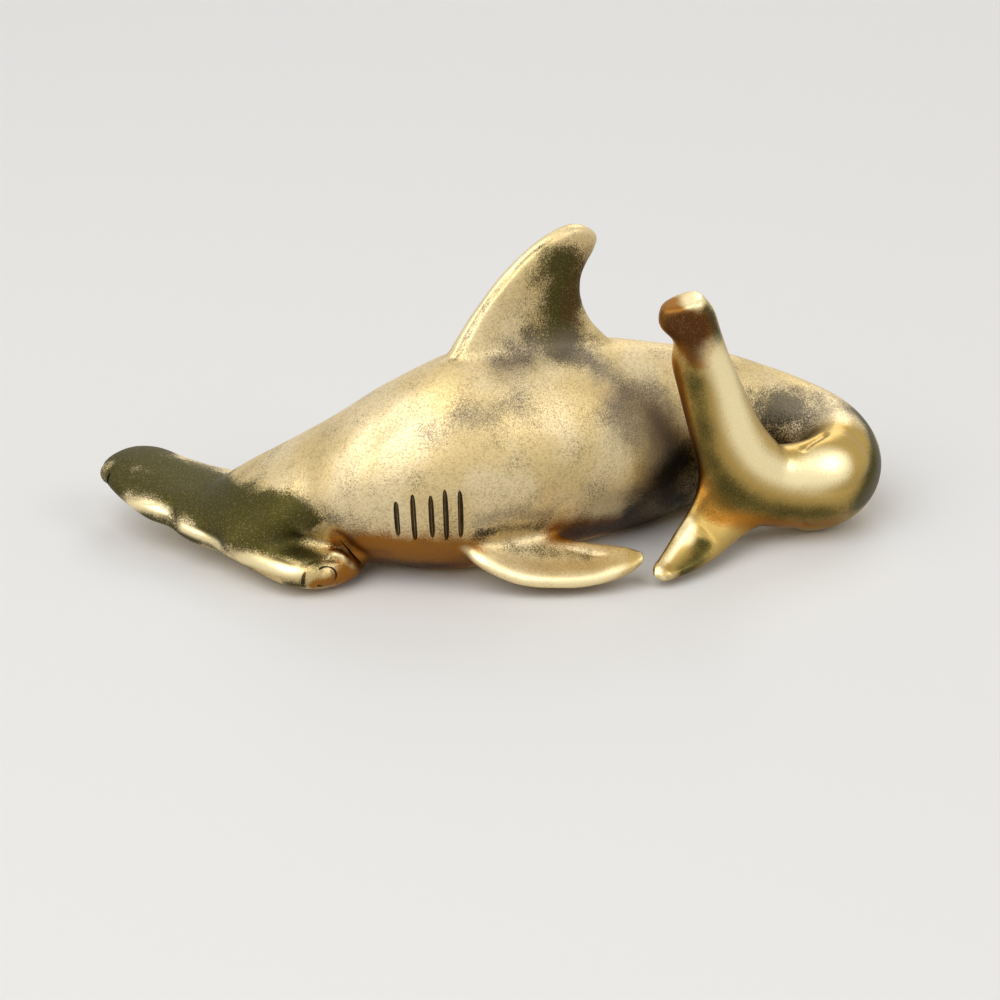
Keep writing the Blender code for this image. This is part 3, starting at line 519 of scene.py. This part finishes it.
class SharkStageSettings(bpy.types.PropertyGroup):
    """Floor, lamps and camera."""

    floor_colour: bpy.props.FloatVectorProperty(
        name="Floor", description="Colour of the floor",
        subtype="COLOR", default=(0.86, 0.85, 0.83),
    )
    key_power: bpy.props.FloatProperty(
        name="Key Lamp", description="Power of the large lamp", default=1.75, unit="POWER"
    )
    fill_power: bpy.props.FloatProperty(
        name="Fill Lamp", description="Power of the side lamp", default=0.4, unit="POWER"
    )
    back_power: bpy.props.FloatProperty(
        name="Back Lamp", description="Power of the lamp behind", default=0.5, unit="POWER"
    )
    surround: bpy.props.FloatProperty(
        name="Surround", description="Strength of the even light", default=0.35
    )
    tilt: bpy.props.FloatProperty(
        name="Camera Tilt", description="How far above level the camera is",
        default=math.radians(25.0), unit="ROTATION",
    )
    lens: bpy.props.FloatProperty(
        name="Lens", description="Focal length of the camera", default=135.0, unit="CAMERA"
    )


def through(stations, count, keys=3):
    """Reads a smooth curve through the stations, at places evenly spaced along it."""
    table = np.array(stations, dtype=float)
    steps = np.linalg.norm(np.diff(table[:, :keys], axis=0), axis=1)
    knots = np.concatenate(([0.0], np.cumsum(steps)))
    slopes = np.gradient(table, knots, axis=0)
    places = np.linspace(0.0, knots[-1], count)
    span = np.clip(np.searchsorted(knots, places, side="right") - 1, 0, len(knots) - 2)
    width = (knots[span + 1] - knots[span])[:, None]
    t = (places - knots[span])[:, None] / width
    start, end = table[span], table[span + 1]
    rise, fall = slopes[span] * width, slopes[span + 1] * width
    return (
        (2 * t**3 - 3 * t**2 + 1) * start
        + (t**3 - 2 * t**2 + t) * rise
        + (3 * t**2 - 2 * t**3) * end
        + (t**3 - t**2) * fall
    )


def unit(vector):
    return vector / np.linalg.norm(vector)


def placed(name, mesh):
    """Puts a closed mesh into the scene with its faces pointing out."""
    if mesh.calc_volume(signed=True) < 0.0:
        bmesh.ops.reverse_faces(mesh, faces=mesh.faces)
    data = bpy.data.meshes.new(name)
    mesh.to_mesh(data)
    mesh.free()
    shape = bpy.data.objects.new(name, data)
    bpy.context.scene.collection.objects.link(shape)
    return shape


def loft(name, rings):
    """Makes a closed mesh from rings of points, each end closed on its middle."""
    rings = np.asarray(rings) * MM
    sides = rings.shape[1]
    mesh = bmesh.new()
    loops = [[mesh.verts.new(point) for point in ring] for ring in rings]
    for first, second in zip(loops, loops[1:]):
        for k in range(sides):
            after = (k + 1) % sides
            mesh.faces.new((first[k], first[after], second[after], second[k]))
    for loop in (loops[0], loops[-1]):
        middle = mesh.verts.new(sum((v.co for v in loop), Vector()) / sides)
        for k in range(sides):
            mesh.faces.new((loop[k], loop[(k + 1) % sides], middle))
    return placed(name, mesh)


def trunk_ring(row, forward):
    """One oval section of the trunk, square to the spine in plan."""
    x, y, z, half_width, half_height, ridge = row
    turn = np.linspace(0.0, 2 * math.pi, TRUNK_SIDES, endpoint=False)
    side = unit(np.array((forward[1], -forward[0], 0.0)))
    pinch = 1.0 - ridge * np.maximum(0.0, np.sin(turn)) ** 2
    across = half_width * np.cos(turn) * pinch
    lift = half_height * np.sin(turn)
    return np.array((x, y, z)) + np.outer(across, side) + np.outer(lift, (0, 0, 1))


def trunk():
    """The trunk: oval sections along the spine, the back pinched to a soft ridge."""
    path = through(TRUNK, TRUNK_RINGS)
    ahead = np.gradient(path[:, :3], axis=0)
    return loft("trunk", [trunk_ring(row, forward) for row, forward in zip(path, ahead)])


def spine_at(place):
    """The trunk's section values and heading at a distance along the spine."""
    path = through(TRUNK, TRUNK_RINGS)
    steps = np.linalg.norm(np.diff(path[:, :3], axis=0), axis=1)
    travelled = np.concatenate(([0.0], np.cumsum(steps)))
    row = np.array([np.interp(place, travelled, column) for column in path.T])
    ahead = np.gradient(path[:, :3], axis=0)
    forward = np.array([np.interp(place, travelled, column) for column in ahead.T])
    return row, unit(np.array((forward[0], forward[1], 0.0)))


def flank_point(place, turn, flank):
    """A point on the trunk's skin, with the way out of it; flank is 1 near, -1 far."""
    row, forward = spine_at(place)
    side = flank * np.array((forward[1], -forward[0], 0.0))
    point = row[:3] + side * row[3] * math.cos(turn) + np.array((0, 0, row[4] * math.sin(turn)))
    outward = unit(side * math.cos(turn) / row[3] + np.array((0, 0, math.sin(turn) / row[4])))
    return point, outward


def section(lead, trail, half_thickness, outward, dish=0.0, taper=0.0):
    """A lens-shaped section from leading to trailing edge, hollowed by dish."""
    turn = np.linspace(0.0, 2 * math.pi, SECTION_SIDES, endpoint=False)
    power = 2.0 / SECTION_ROUNDNESS
    along = np.sign(np.cos(turn)) * np.abs(np.cos(turn)) ** power
    thick = np.sign(np.sin(turn)) * np.abs(np.sin(turn)) ** power
    chord = (lead - trail) / 2
    across = unit(np.cross(outward, chord))
    hollow = 1.0 - dish * (1.0 - along**2)
    narrow = 1.0 - taper * (1.0 - along) / 2
    half = half_thickness * thick * hollow * narrow
    return (lead + trail) / 2 + np.outer(along, chord) + np.outer(half, across)


def fin(name, stations, dish=0.25, taper=0.35):
    """A fin: sections between its leading and trailing edges, from root to tip."""
    path = through(stations, FIN_RINGS, keys=6)
    middles = (path[:, :3] + path[:, 3:6]) / 2
    outward = np.gradient(middles, axis=0)
    rings = [section(row[:3], row[3:6], row[6], rise, dish, taper) for row, rise in zip(path, outward)]
    return loft(name, rings)


def blade_axes():
    """The blade's span, its way forward and the way up, as unit vectors."""
    span = unit(np.array((math.cos(BLADE_YAW), math.sin(BLADE_YAW), -math.sin(BLADE_ROLL))))
    front = unit(np.array((span[1], -span[0], 0.0)))
    return span, front, np.cross(span, front) * -1.0


def blade():
    """The wide flat head: sections set side by side across its span."""
    span, front, _ = blade_axes()
    rings = []
    for place, lead, rear, thickness, lift in through(BLADE, BLADE_RINGS):
        middle = np.array(BLADE_CENTRE) + span * place + np.array((0, 0, lift))
        rings.append(section(middle + front * lead, middle + front * rear, thickness / 2, span))
    return loft("blade", rings)


def blade_point(place, turn):
    """A point on the blade's skin; turn runs from its front edge up over the top."""
    span, front, up = blade_axes()
    path = through(BLADE, BLADE_RINGS)
    order = np.argsort(path[:, 0])
    lead, rear, thickness, lift = (
        np.interp(place, path[order, 0], path[order, k]) for k in (1, 2, 3, 4)
    )
    middle = np.array(BLADE_CENTRE) + span * place + np.array((0, 0, lift))
    half_chord = (lead - rear) / 2
    point = middle + front * ((lead + rear) / 2 + half_chord * math.cos(turn))
    point = point + up * thickness / 2 * math.sin(turn)
    outward = unit(front * math.cos(turn) / half_chord + up * math.sin(turn) / (thickness / 2))
    return point, outward


def mirrored(shape, point, normal):
    """Turns a form into its mirror image across an upright plane."""
    mesh = bmesh.new()
    mesh.from_mesh(shape.data)
    base, across = Vector(point) * MM, Vector(normal)
    for vertex in mesh.verts:
        vertex.co -= 2.0 * (vertex.co - base).dot(across) * across
    bmesh.ops.reverse_faces(mesh, faces=mesh.faces)
    mesh.to_mesh(shape.data)
    mesh.free()
    return shape


def far_pectoral():
    """The hidden pectoral fin, the near one's mirror image across the spine."""
    row, forward = spine_at(SHOULDER_PLACE)
    return mirrored(fin("far_pectoral", PECTORAL), row[:3], (forward[1], -forward[0], 0.0))


def egg(centre, axes, half_sizes):
    """The place of a small egg-shaped tool: its centre and its three half axes."""
    return np.array(centre), np.array(axes), np.array(half_sizes)


def gill_egg(place, length, flank, settings):
    centre, outward = flank_point(place, GILL_TURN, flank)
    upright = unit(np.cross(np.cross(outward, (0.0, 0.0, 1.0)), outward))
    upward = upright * math.cos(GILL_LEAN) + flank * np.cross(outward, upright) * math.sin(GILL_LEAN)
    sizes = (settings.gill_width / 2 / MM, length / 2, settings.gill_depth / MM)
    return egg(centre, (unit(np.cross(upward, outward)), upward, outward), sizes)


def nostril_egg(place, settings):
    point, _ = blade_point(place, 0.0)
    return egg(point, blade_axes(), (settings.nostril_width / 2 / MM, NOSTRIL_DEPTH, NOSTRIL_HEIGHT / 2))


def eye_seat(row):
    """The middle of an eye on the skin, and the way it looks."""
    place, turn, outlook, _ = row
    span, _, _ = blade_axes()
    point, outward = blade_point(place, turn)
    return point, unit(outward + outlook * math.copysign(1.0, place) * span)


def eye_egg(row, settings):
    point, outward = eye_seat(row)
    upward = unit(np.cross(np.cross(outward, (0.0, 0.0, 1.0)), outward))
    across = np.cross(upward, outward)
    return egg(point - outward * row[3], (across, upward, outward), [settings.eye_radius / MM] * 3)


def aimed(name, place, blunt=False):
    """Makes an egg-shaped tool; blunt keeps it wide to its ends."""
    centre, axes, half_sizes = place
    mesh = bmesh.new()
    bmesh.ops.create_uvsphere(mesh, u_segments=TOOL_SIDES, v_segments=TOOL_SIDES // 2, radius=1.0)
    turn = axes.T * half_sizes
    for vertex in mesh.verts:
        x, y, z = vertex.co
        wide = math.sqrt(1.0 + y**2 + y**4) if blunt else 1.0
        vertex.co = Vector((centre + turn @ np.array((x * wide, y, z * wide))) * MM)
    return placed(name, mesh)


def wing_gap_egg():
    """The slot between the near wing's rear edge and the flank behind it."""
    top, foot = np.array(WING_GAP)
    along = unit(foot - top)
    across = unit(np.cross(along, WING_GAP_WAY_IN))
    sizes = (WING_GAP_WIDTH / 2, np.linalg.norm(foot - top) / 2, WING_GAP_DEPTH)
    return egg((top + foot) / 2, (across, along, np.cross(across, along)), sizes)


def eye_groove(row):
    point, outward = eye_seat(row)
    bpy.ops.mesh.primitive_torus_add(
        major_radius=EYE_RING_RADIUS * MM,
        minor_radius=EYE_RING_WIDTH / 2 * MM,
        major_segments=48,
        minor_segments=12,
    )
    groove = bpy.context.active_object
    turn = Vector(outward).to_track_quat("Z", "Y").to_matrix().to_4x4()
    groove.data.transform(Matrix.Translation(Vector(point - outward * EYE_RING_SEAT) * MM) @ turn)
    return groove


def ground():
    """The flat that the casting is ground to underneath, so that it stands."""
    bpy.ops.mesh.primitive_cube_add(size=GROUND_REACH * MM, location=(0, 0, -GROUND_REACH * MM / 2))
    return bpy.context.active_object


def join(name, shapes):
    """Puts all the forms into one mesh, ready to be cast as one."""
    mesh = bmesh.new()
    for shape in shapes:
        mesh.from_mesh(shape.data)
        bpy.data.objects.remove(shape, do_unlink=True)
    return placed(name, mesh)


def settle(shape):
    """Turns what a shape's modifiers make into its own mesh."""
    graph = bpy.context.evaluated_depsgraph_get()
    mesh = bpy.data.meshes.new_from_object(shape.evaluated_get(graph))
    shape.modifiers.clear()
    shape.data = mesh


def tell_apart(mesh, value):
    """Writes on every corner how dark its cut is painted, and nothing on the skin."""
    layer = mesh.attributes.get("cut") or mesh.attributes.new("cut", "FLOAT", "CORNER")
    layer.data.foreach_set("value", np.full(len(mesh.loops), value, dtype=np.float32))


def work(shape, tool, operation, dark=0.0):
    """Cuts or adds a tool for good; dark says how black its faces are painted."""
    tell_apart(tool.data, dark)
    step = shape.modifiers.new("work", "BOOLEAN")
    step.object = tool
    step.operation = operation
    step.solver = "EXACT"
    settle(shape)
    bpy.data.objects.remove(tool, do_unlink=True)


def read_points(mesh):
    """The mesh's points in millimetres."""
    points = np.empty(len(mesh.vertices) * 3)
    mesh.vertices.foreach_get("co", points)
    return points.reshape(-1, 3) / MM


def read_normals(mesh):
    normals = np.empty(len(mesh.vertices) * 3)
    mesh.vertices.foreach_get("normal", normals)
    return normals.reshape(-1, 3)


def nearness(points, path, half_width):
    """How near each point is to a path, from 0 to 1, fading out at the path's ends."""
    track = through(path, MARK_STEPS)
    low, high = track.min(axis=0) - MARK_REACH * half_width, track.max(axis=0) + MARK_REACH * half_width
    close = np.flatnonzero(np.all((points > low) & (points < high), axis=1))
    gaps = np.linalg.norm(points[close, None, :] - track[None, :, :], axis=2)
    place = gaps.argmin(axis=1) / (len(track) - 1)
    fade = np.clip(MARK_END_FADE * place * (1.0 - place), 0.0, 1.0)
    near = np.zeros(len(points))
    near[close] = np.exp(-((gaps.min(axis=1) / half_width) ** 2)) * fade
    return near


def carve(shape):
    """Presses or raises every mark in the skin."""
    mesh = shape.data
    points, normals = read_points(mesh), read_normals(mesh)
    moved = points.copy()
    for path, half_width, depth, _ in MARKS:
        moved -= normals * (depth * nearness(points, path, half_width))[:, None]
    mesh.vertices.foreach_set("co", (moved * MM).ravel())
    mesh.update()


def neighbours(mesh):
    """Both ends of every edge, and how many edges meet at each point."""
    edges = np.empty(len(mesh.edges) * 2, dtype=np.int64)
    mesh.edges.foreach_get("vertices", edges)
    first, second = edges.reshape(-1, 2).T
    size = len(mesh.vertices)
    return first, second, np.bincount(first, minlength=size) + np.bincount(second, minlength=size)


def mean_of_neighbours(values, first, second, count):
    size = len(values)
    return (np.bincount(first, values[second], size) + np.bincount(second, values[first], size)) / count


def soften(shape):
    """Rubs the skin smooth where forms run into each other."""
    mesh = shape.data
    points = read_points(mesh)
    first, second, count = neighbours(mesh)
    for centre, reach, rounds in SOFT_SPOTS:
        weight = np.exp(-np.sum(((points - np.array(centre)) / reach) ** 2, axis=1) ** 2)[:, None]
        for _ in range(rounds):
            mean = np.column_stack([mean_of_neighbours(axis, first, second, count) for axis in points.T])
            points += SMOOTHING * weight * (mean - points)
    mesh.vertices.foreach_set("co", (points * MM).ravel())
    mesh.update()


def inside(points, place, reach):
    """1 within an egg-shaped tool's place, fading to 0 just outside it."""
    centre, axes, half_sizes = place
    local = (points - centre) @ axes.T / half_sizes
    distance = np.linalg.norm(local, axis=1)
    return np.clip((reach + EGG_FADE - distance) / EGG_FADE, 0.0, 1.0)


def zone_amount(points, kind):
    """How strongly one kind of ageing shows at each point."""
    clear = np.ones(len(points))
    for centre, reach, strength in ZONES.get(kind, ()):
        gap = (points - np.array(centre)) / (ZONE_REACH * np.array(reach))
        clear *= 1.0 - strength * np.exp(-np.sum(gap**2, axis=1) ** ZONE_EDGE)
    for path, half_width, strength in STREAKS.get(kind, ()):
        clear *= 1.0 - strength * nearness(points, path, half_width)
    return 1.0 - clear


def creases_and_crests(mesh, points, normals):
    """How hollow and how crested the skin is at each point, each from 0 to 1."""
    first, second, count = neighbours(mesh)
    way = points[second] - points[first]
    length = np.linalg.norm(way, axis=1)
    bend = np.sum((normals[second] - normals[first]) * way, axis=1) / np.maximum(length, SHORT_EDGE) ** 2
    curve = (np.bincount(first, bend, len(points)) + np.bincount(second, bend, len(points))) / count
    for _ in range(CURVE_ROUNDS):
        curve += SMOOTHING * (mean_of_neighbours(curve, first, second, count) - curve)
    return np.clip(-curve / HOLLOW_CURVE, 0.0, 1.0), np.clip(curve / CREST_CURVE, 0.0, 1.0)


def paint_age_shade_and_highlights(mesh, eyes, cuts):
    """Writes how the finish has aged at every point of the skin, with the painted shade, painted dark
    reflection and painted highlights.
    """
    points, normals = read_points(mesh), read_normals(mesh)
    hollow, crest = creases_and_crests(mesh, points, normals)
    for place in cuts:
        calm = 1.0 - inside(points, place, CUT_CALM)
        hollow, crest = hollow * calm, crest * calm
    soot_and_shade = zone_amount(points, "soot_and_shade")
    for path, half_width, _, dark in MARKS:
        soot_and_shade = np.maximum(soot_and_shade, dark * nearness(points, path, MARK_DARK_REACH * half_width))
    eye = np.zeros(len(points))
    for place in eyes:
        eye = np.maximum(eye, inside(points, place, 1.0))
    layers = {kind: zone_amount(points, kind) for kind in LAYERS}
    # the olive, umber and amber coats, painted shade and dark reflection among them, keep the crest
    # highlight off
    dark_cover = np.maximum.reduce([layers["olive_film_and_reflection"], layers["umber_shade"], AMBER_COVER * layers["amber_shade"]])
    # painted highlight on the crests, partly wear, kept off the dark coats
    shine = CREST_SHINE * crest * (1.0 - dark_cover)
    # painted shade in the hollows joins the black layer, kept off the eyes
    layers["soot_and_shade"] = np.maximum(soot_and_shade, HOLLOW_SHADE * hollow) * (1.0 - eye)
    layers["olive_film_and_reflection"] *= 1.0 - EYE_KEEPS_OFF_OLIVE * eye
    layers["rubbed"] = np.maximum(layers["rubbed"], shine) * (1.0 - EYE_KEEPS_OFF_SHINE * eye)
    for name, amount in layers.items():
        layer = mesh.attributes.new(name, "FLOAT", "POINT")
        layer.data.foreach_set("value", amount.astype(np.float32))


def add_node(tree, kind, **settings):
    made = tree.nodes.new(kind)
    for name, value in settings.items():
        setattr(made, name, value)
    return made


def feed(tree, socket, value):
    """Links a socket to a node's output, or sets it where value is a plain number or colour."""
    if isinstance(value, bpy.types.NodeSocket):
        tree.links.new(value, socket)
    elif hasattr(value, "__len__"):
        socket.default_value = (*value[:3], 1.0)
    else:
        socket.default_value = value


def noise(tree, place, size, detail=2.0, roughness=0.5):
    """Noise whose blotches are about that many millimetres across."""
    made = add_node(tree, "ShaderNodeTexNoise")
    feed(tree, made.inputs["Vector"], place)
    made.inputs["Scale"].default_value = 1.0 / (size * MM)
    made.inputs["Detail"].default_value = detail
    made.inputs["Roughness"].default_value = roughness
    return made.outputs["Fac"]


def spread(tree, value, low, high, lowest=0.0, highest=1.0):
    """Stretches value so that low to high becomes lowest to highest, with soft ends."""
    made = add_node(tree, "ShaderNodeMapRange", interpolation_type="SMOOTHSTEP")
    settings = {"Value": value, "From Min": low, "From Max": high, "To Min": lowest, "To Max": highest}
    for name, setting in settings.items():
        feed(tree, made.inputs[name], setting)
    return made.outputs["Result"]


def maths(tree, operation, first, second):
    """Works two numbers or outputs into one."""
    made = add_node(tree, "ShaderNodeMath", operation=operation)
    feed(tree, made.inputs[0], first)
    feed(tree, made.inputs[1], second)
    return made.outputs[0]


def times(tree, first, second):
    return maths(tree, "MULTIPLY", first, second)


def coat(tree, amount, under, over):
    """Lays one colour over another by that amount."""
    made = add_node(tree, "ShaderNodeMix", data_type="RGBA")
    feed(tree, made.inputs["Factor"], amount)
    feed(tree, made.inputs["A"], under)
    feed(tree, made.inputs["B"], over)
    return made.outputs["Result"]


def layer_of(tree, name):
    return add_node(tree, "ShaderNodeAttribute", attribute_name=name).outputs["Fac"]


def ragged(tree, amount, breaks, low=0.3, high=0.7):
    """A layer's amount with its border broken up by the grain."""
    return spread(tree, maths(tree, "ADD", amount, breaks), low, high)


def brass_with_age_and_painted_light(settings):
    """Satin cast brass: fine grain, dark speckle, olive film with painted dark reflection, grey bloom,
    black oxide and painted shade in the hollows and low down, painted highlights on crests and rims.
    """
    material = bpy.data.materials.new("brass_with_age_and_painted_light")
    material.use_nodes = True
    tree = material.node_tree
    shader = tree.nodes["Principled BSDF"]
    place = add_node(tree, "ShaderNodeTexCoord").outputs["Object"]
    grain = noise(tree, place, GRAIN_SIZE, 2.0, 0.6)
    mottle = noise(tree, place, MOTTLE_SIZE, 3.0, 0.6)
    fleck = noise(tree, place, FLECK_SIZE, 2.0, 0.5)
    cloud = noise(tree, place, CLOUD_SIZE, 3.0, 0.55)
    drift = noise(tree, place, DRIFT_SIZE, 2.0)
    soot_and_shade, oxide, olive_film_and_reflection, amber_shade, umber_shade, gold, rubbed, cut = (
        layer_of(tree, name) for name in ("soot_and_shade", *LAYERS, "cut")
    )
    # the grain breaks up each layer's border, as oxide stays in the pits of a cast skin
    fine = spread(tree, grain, 0.3, 0.7, -0.5, 0.5)
    patchy = spread(tree, cloud, 0.3, 0.7, -0.5, 0.5)
    breaks = maths(tree, "ADD", times(tree, fine, 0.42), times(tree, patchy, 0.4))
    breaks = times(tree, breaks, maths(tree, "SUBTRACT", 1.0, times(tree, gold, 0.7)))
    light_breaks = times(tree, breaks, 0.45)
    bright = maths(tree, "MAXIMUM", rubbed, times(tree, gold, 0.6))
    satin = maths(tree, "SUBTRACT", 1.0, bright)
    oxide_shown = ragged(tree, oxide, breaks, 0.05, 1.15)
    soot_and_shade_shown = maths(tree, "MAXIMUM", ragged(tree, soot_and_shade, breaks, 0.1, 1.0), times(tree, cut, 0.95))
    speckle = times(tree, spread(tree, fleck, 0.54, 0.66), satin)
    mottled = times(tree, spread(tree, mottle, 0.42, 0.72), satin)
    colour = coat(tree, spread(tree, drift, 0.35, 0.65), settings.brass, settings.brass_pale)
    # the amber and umber coats are painted shade, the black coat oxide and painted shade, the olive coat
    # film and painted dark reflection, the rubbed coat painted highlight and wear
    for amount, over in (
        (times(tree, mottled, 0.3), settings.speckle),
        (ragged(tree, gold, light_breaks), settings.gold),
        (ragged(tree, amber_shade, light_breaks, 0.2, 0.7), settings.amber_shade),
        (ragged(tree, olive_film_and_reflection, times(tree, breaks, 0.9), 0.1, 0.7), settings.olive_film_and_reflection),
        (ragged(tree, umber_shade, light_breaks, 0.1, 0.9), settings.umber_shade),
        (ragged(tree, rubbed, light_breaks, 0.1, 0.95), settings.rubbed),
        (times(tree, speckle, 0.42), settings.speckle),
        (oxide_shown, settings.oxide),
        (soot_and_shade_shown, settings.soot_and_shade),
    ):
        colour = coat(tree, amount, colour, over)
    feed(tree, shader.inputs["Base Color"], colour)
    shader.inputs["Metallic"].default_value = 1.0
    # the bloom and the olive coat, partly painted dark reflection, make the skin rougher
    dark_cover = maths(tree, "MAXIMUM", oxide_shown, olive_film_and_reflection)
    dull = maths(tree, "ADD", spread(tree, grain, 0.3, 0.7, 0.40, 0.52), times(tree, dark_cover, 0.12))
    smooth = times(tree, maths(tree, "MAXIMUM", rubbed, gold), 0.15)
    feed(tree, shader.inputs["Roughness"], maths(tree, "SUBTRACT", dull, smooth))
    bump = add_node(tree, "ShaderNodeBump")
    bump.inputs["Distance"].default_value = GRAIN_DEPTH * MM
    feed(tree, bump.inputs["Strength"], times(tree, maths(tree, "ADD", satin, 0.2), 0.4))
    feed(tree, bump.inputs["Height"], maths(tree, "SUBTRACT", grain, speckle))
    feed(tree, shader.inputs["Normal"], bump.outputs["Normal"])
    return material


def plain_floor(settings):
    """Matt floor."""
    material = bpy.data.materials.new("plain_floor")
    material.use_nodes = True
    shader = material.node_tree.nodes["Principled BSDF"]
    feed(material.node_tree, shader.inputs["Base Color"], settings.floor_colour)
    shader.inputs["Roughness"].default_value = 0.9
    shader.inputs["Specular IOR Level"].default_value = 0.2
    return material


class SHARK_OT_add_casting(bpy.types.Operator):
    """Builds the casting and puts it in the place of the plain CAD solid"""

    bl_idname = "shark.add_casting"
    bl_label = "Add Casting"
    bl_options = {"REGISTER", "UNDO"}

    def execute(self, context):
        settings = context.scene.shark_casting
        casting = join(
            CASTING,
            [
                trunk(),
                blade(),
                fin("dorsal_fin", DORSAL),
                fin("pectoral_fin", PECTORAL),
                far_pectoral(),
                fin("upper_lobe", UPPER_LOBE, dish=0.0, taper=0.2),
                fin("lower_lobe", LOWER_LOBE),
                fin("tail_keel", TAIL_KEEL),
            ],
        )
        cast = casting.modifiers.new("cast", "REMESH")
        cast.mode = "VOXEL"
        cast.voxel_size = settings.voxel
        smooth = casting.modifiers.new("fillet", "SMOOTH")
        smooth.factor = SMOOTHING
        smooth.iterations = FILLET_ROUNDS
        settle(casting)
        soften(casting)
        carve(casting)
        facets = casting.modifiers.new("facets", "DECIMATE")
        facets.ratio = FACE_COUNT / (2 * len(casting.data.polygons))
        settle(casting)
        eyes = [eye_egg(row, settings) for row in EYES]
        eggs = [nostril_egg(place, settings) for place in NOSTRIL_PLACES] + [wing_gap_egg()]
        slits = [
            gill_egg(place, length, flank, settings)
            for place, length in zip(GILL_PLACES, GILL_LENGTHS)
            for flank in (1, -1)
        ]
        tell_apart(casting.data, 0.0)
        for place in eyes:
            work(casting, aimed("eye", place), "UNION")
        for row in EYES:
            work(casting, eye_groove(row), "DIFFERENCE", EYE_RING_DARK)
        for place in eggs:
            work(casting, aimed("groove", place), "DIFFERENCE", GROOVE_DARK)
        for place in slits:
            work(casting, aimed("gill_slit", place, blunt=True), "DIFFERENCE", GILL_DARK)
        work(casting, ground(), "DIFFERENCE", GROUND_DARK)
        mesh = casting.data
        paint_age_shade_and_highlights(mesh, eyes, eggs + slits)
        mesh.polygons.foreach_set("use_smooth", [True] * len(mesh.polygons))
        mesh.set_sharp_from_angle(angle=SHARP_ANGLE)
        points = read_points(mesh)
        low, high = points.min(axis=0), points.max(axis=0)
        points -= ((low[0] + high[0]) / 2, (low[1] + high[1]) / 2, low[2])
        mesh.vertices.foreach_set("co", (points * MM).ravel())
        mesh.materials.clear()
        mesh.materials.append(brass_with_age_and_painted_light(settings))
        mesh.update()
        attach(casting, "root")
        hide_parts(CAD_NODE)
        return {"FINISHED"}


class SHARK_OT_add_stage(bpy.types.Operator):
    """Adds the floor, the lamps, the pale surroundings and the camera"""

    bl_idname = "shark.add_stage"
    bl_label = "Add Stage"
    bl_options = {"REGISTER", "UNDO"}

    def execute(self, context):
        settings = context.scene.shark_stage
        bpy.ops.mesh.primitive_plane_add(size=FLOOR_SIZE)
        floor = context.active_object
        floor.name = "floor"
        floor.data.materials.append(plain_floor(settings))
        for name, place, size, power in (
            ("key", KEY_PLACE, KEY_SIZE, settings.key_power),
            ("fill", FILL_PLACE, FILL_SIZE, settings.fill_power),
            ("back", BACK_PLACE, BACK_SIZE, settings.back_power),
        ):
            data = bpy.data.lights.new(name, "AREA")
            data.shape = "DISK"
            data.size = size
            data.energy = power
            lamp = bpy.data.objects.new(name, data)
            context.scene.collection.objects.link(lamp)
            lamp.location = place
            lamp.rotation_euler = (-Vector(place)).to_track_quat("-Z", "Y").to_euler()
        self.surround(context.scene, settings)
        self.aim_camera(context.scene, settings)
        context.scene.view_settings.view_transform = "Standard"
        return {"FINISHED"}

    def surround(self, scene, settings):
        """Soft even light all round, pale to the camera and in reflections."""
        world = bpy.data.worlds.new("surroundings")
        scene.world = world
        world.use_nodes = True
        tree = world.node_tree
        light = tree.nodes["Background"]
        light.inputs["Color"].default_value = (1.0, 1.0, 1.0, 1.0)
        light.inputs["Strength"].default_value = settings.surround
        shown = add_node(tree, "ShaderNodeBackground")
        shown.inputs["Color"].default_value = (0.93, 0.93, 0.92, 1.0)
        path = add_node(tree, "ShaderNodeLightPath")
        seen = maths(tree, "MAXIMUM", path.outputs["Is Camera Ray"], path.outputs["Is Transmission Ray"])
        seen = maths(tree, "MAXIMUM", seen, path.outputs["Is Glossy Ray"])
        choose = add_node(tree, "ShaderNodeMixShader")
        feed(tree, choose.inputs["Fac"], seen)
        feed(tree, choose.inputs[1], light.outputs[0])
        feed(tree, choose.inputs[2], shown.outputs[0])
        feed(tree, tree.nodes["World Output"].inputs["Surface"], choose.outputs[0])

    def aim_camera(self, scene, settings):
        data = bpy.data.cameras.new("camera")
        data.lens = settings.lens
        data.clip_start = 0.01
        camera = bpy.data.objects.new("camera", data)
        scene.collection.objects.link(camera)
        scene.camera = camera
        back = Vector((0.0, -math.cos(settings.tilt), math.sin(settings.tilt)))
        camera.location = Vector(CAMERA_TARGET) + back * CAMERA_DISTANCE
        camera.rotation_euler = (-back).to_track_quat("-Z", "Y").to_euler()


class SHARK_PT_panel(bpy.types.Panel):
    """Lists the pieces of the shark figurine"""

    bl_idname = "SHARK_PT_panel"
    bl_label = "Cast Shark"
    bl_space_type = "VIEW_3D"
    bl_region_type = "UI"
    bl_category = "Shark"

    def draw(self, context):
        layout = self.layout
        for title, settings, operator in (
            ("Casting", context.scene.shark_casting, SHARK_OT_add_casting),
            ("Stage", context.scene.shark_stage, SHARK_OT_add_stage),
        ):
            box = layout.box()
            box.label(text=title)
            for name in settings.__annotations__:
                box.prop(settings, name)
            box.operator(operator.bl_idname)


CLASSES = (
    SharkCastingSettings,
    SharkStageSettings,
    SHARK_OT_add_casting,
    SHARK_OT_add_stage,
    SHARK_PT_panel,
)


def register():
    for item in CLASSES:
        bpy.utils.register_class(item)
    bpy.types.Scene.shark_casting = bpy.props.PointerProperty(type=SharkCastingSettings)
    bpy.types.Scene.shark_stage = bpy.props.PointerProperty(type=SharkStageSettings)


def unregister():
    del bpy.types.Scene.shark_stage
    del bpy.types.Scene.shark_casting
    for item in reversed(CLASSES):
        bpy.utils.unregister_class(item)


def main():
    register()
    bpy.ops.shark.add_casting()
    bpy.ops.shark.add_stage()


if __name__ == "__main__":
    main()
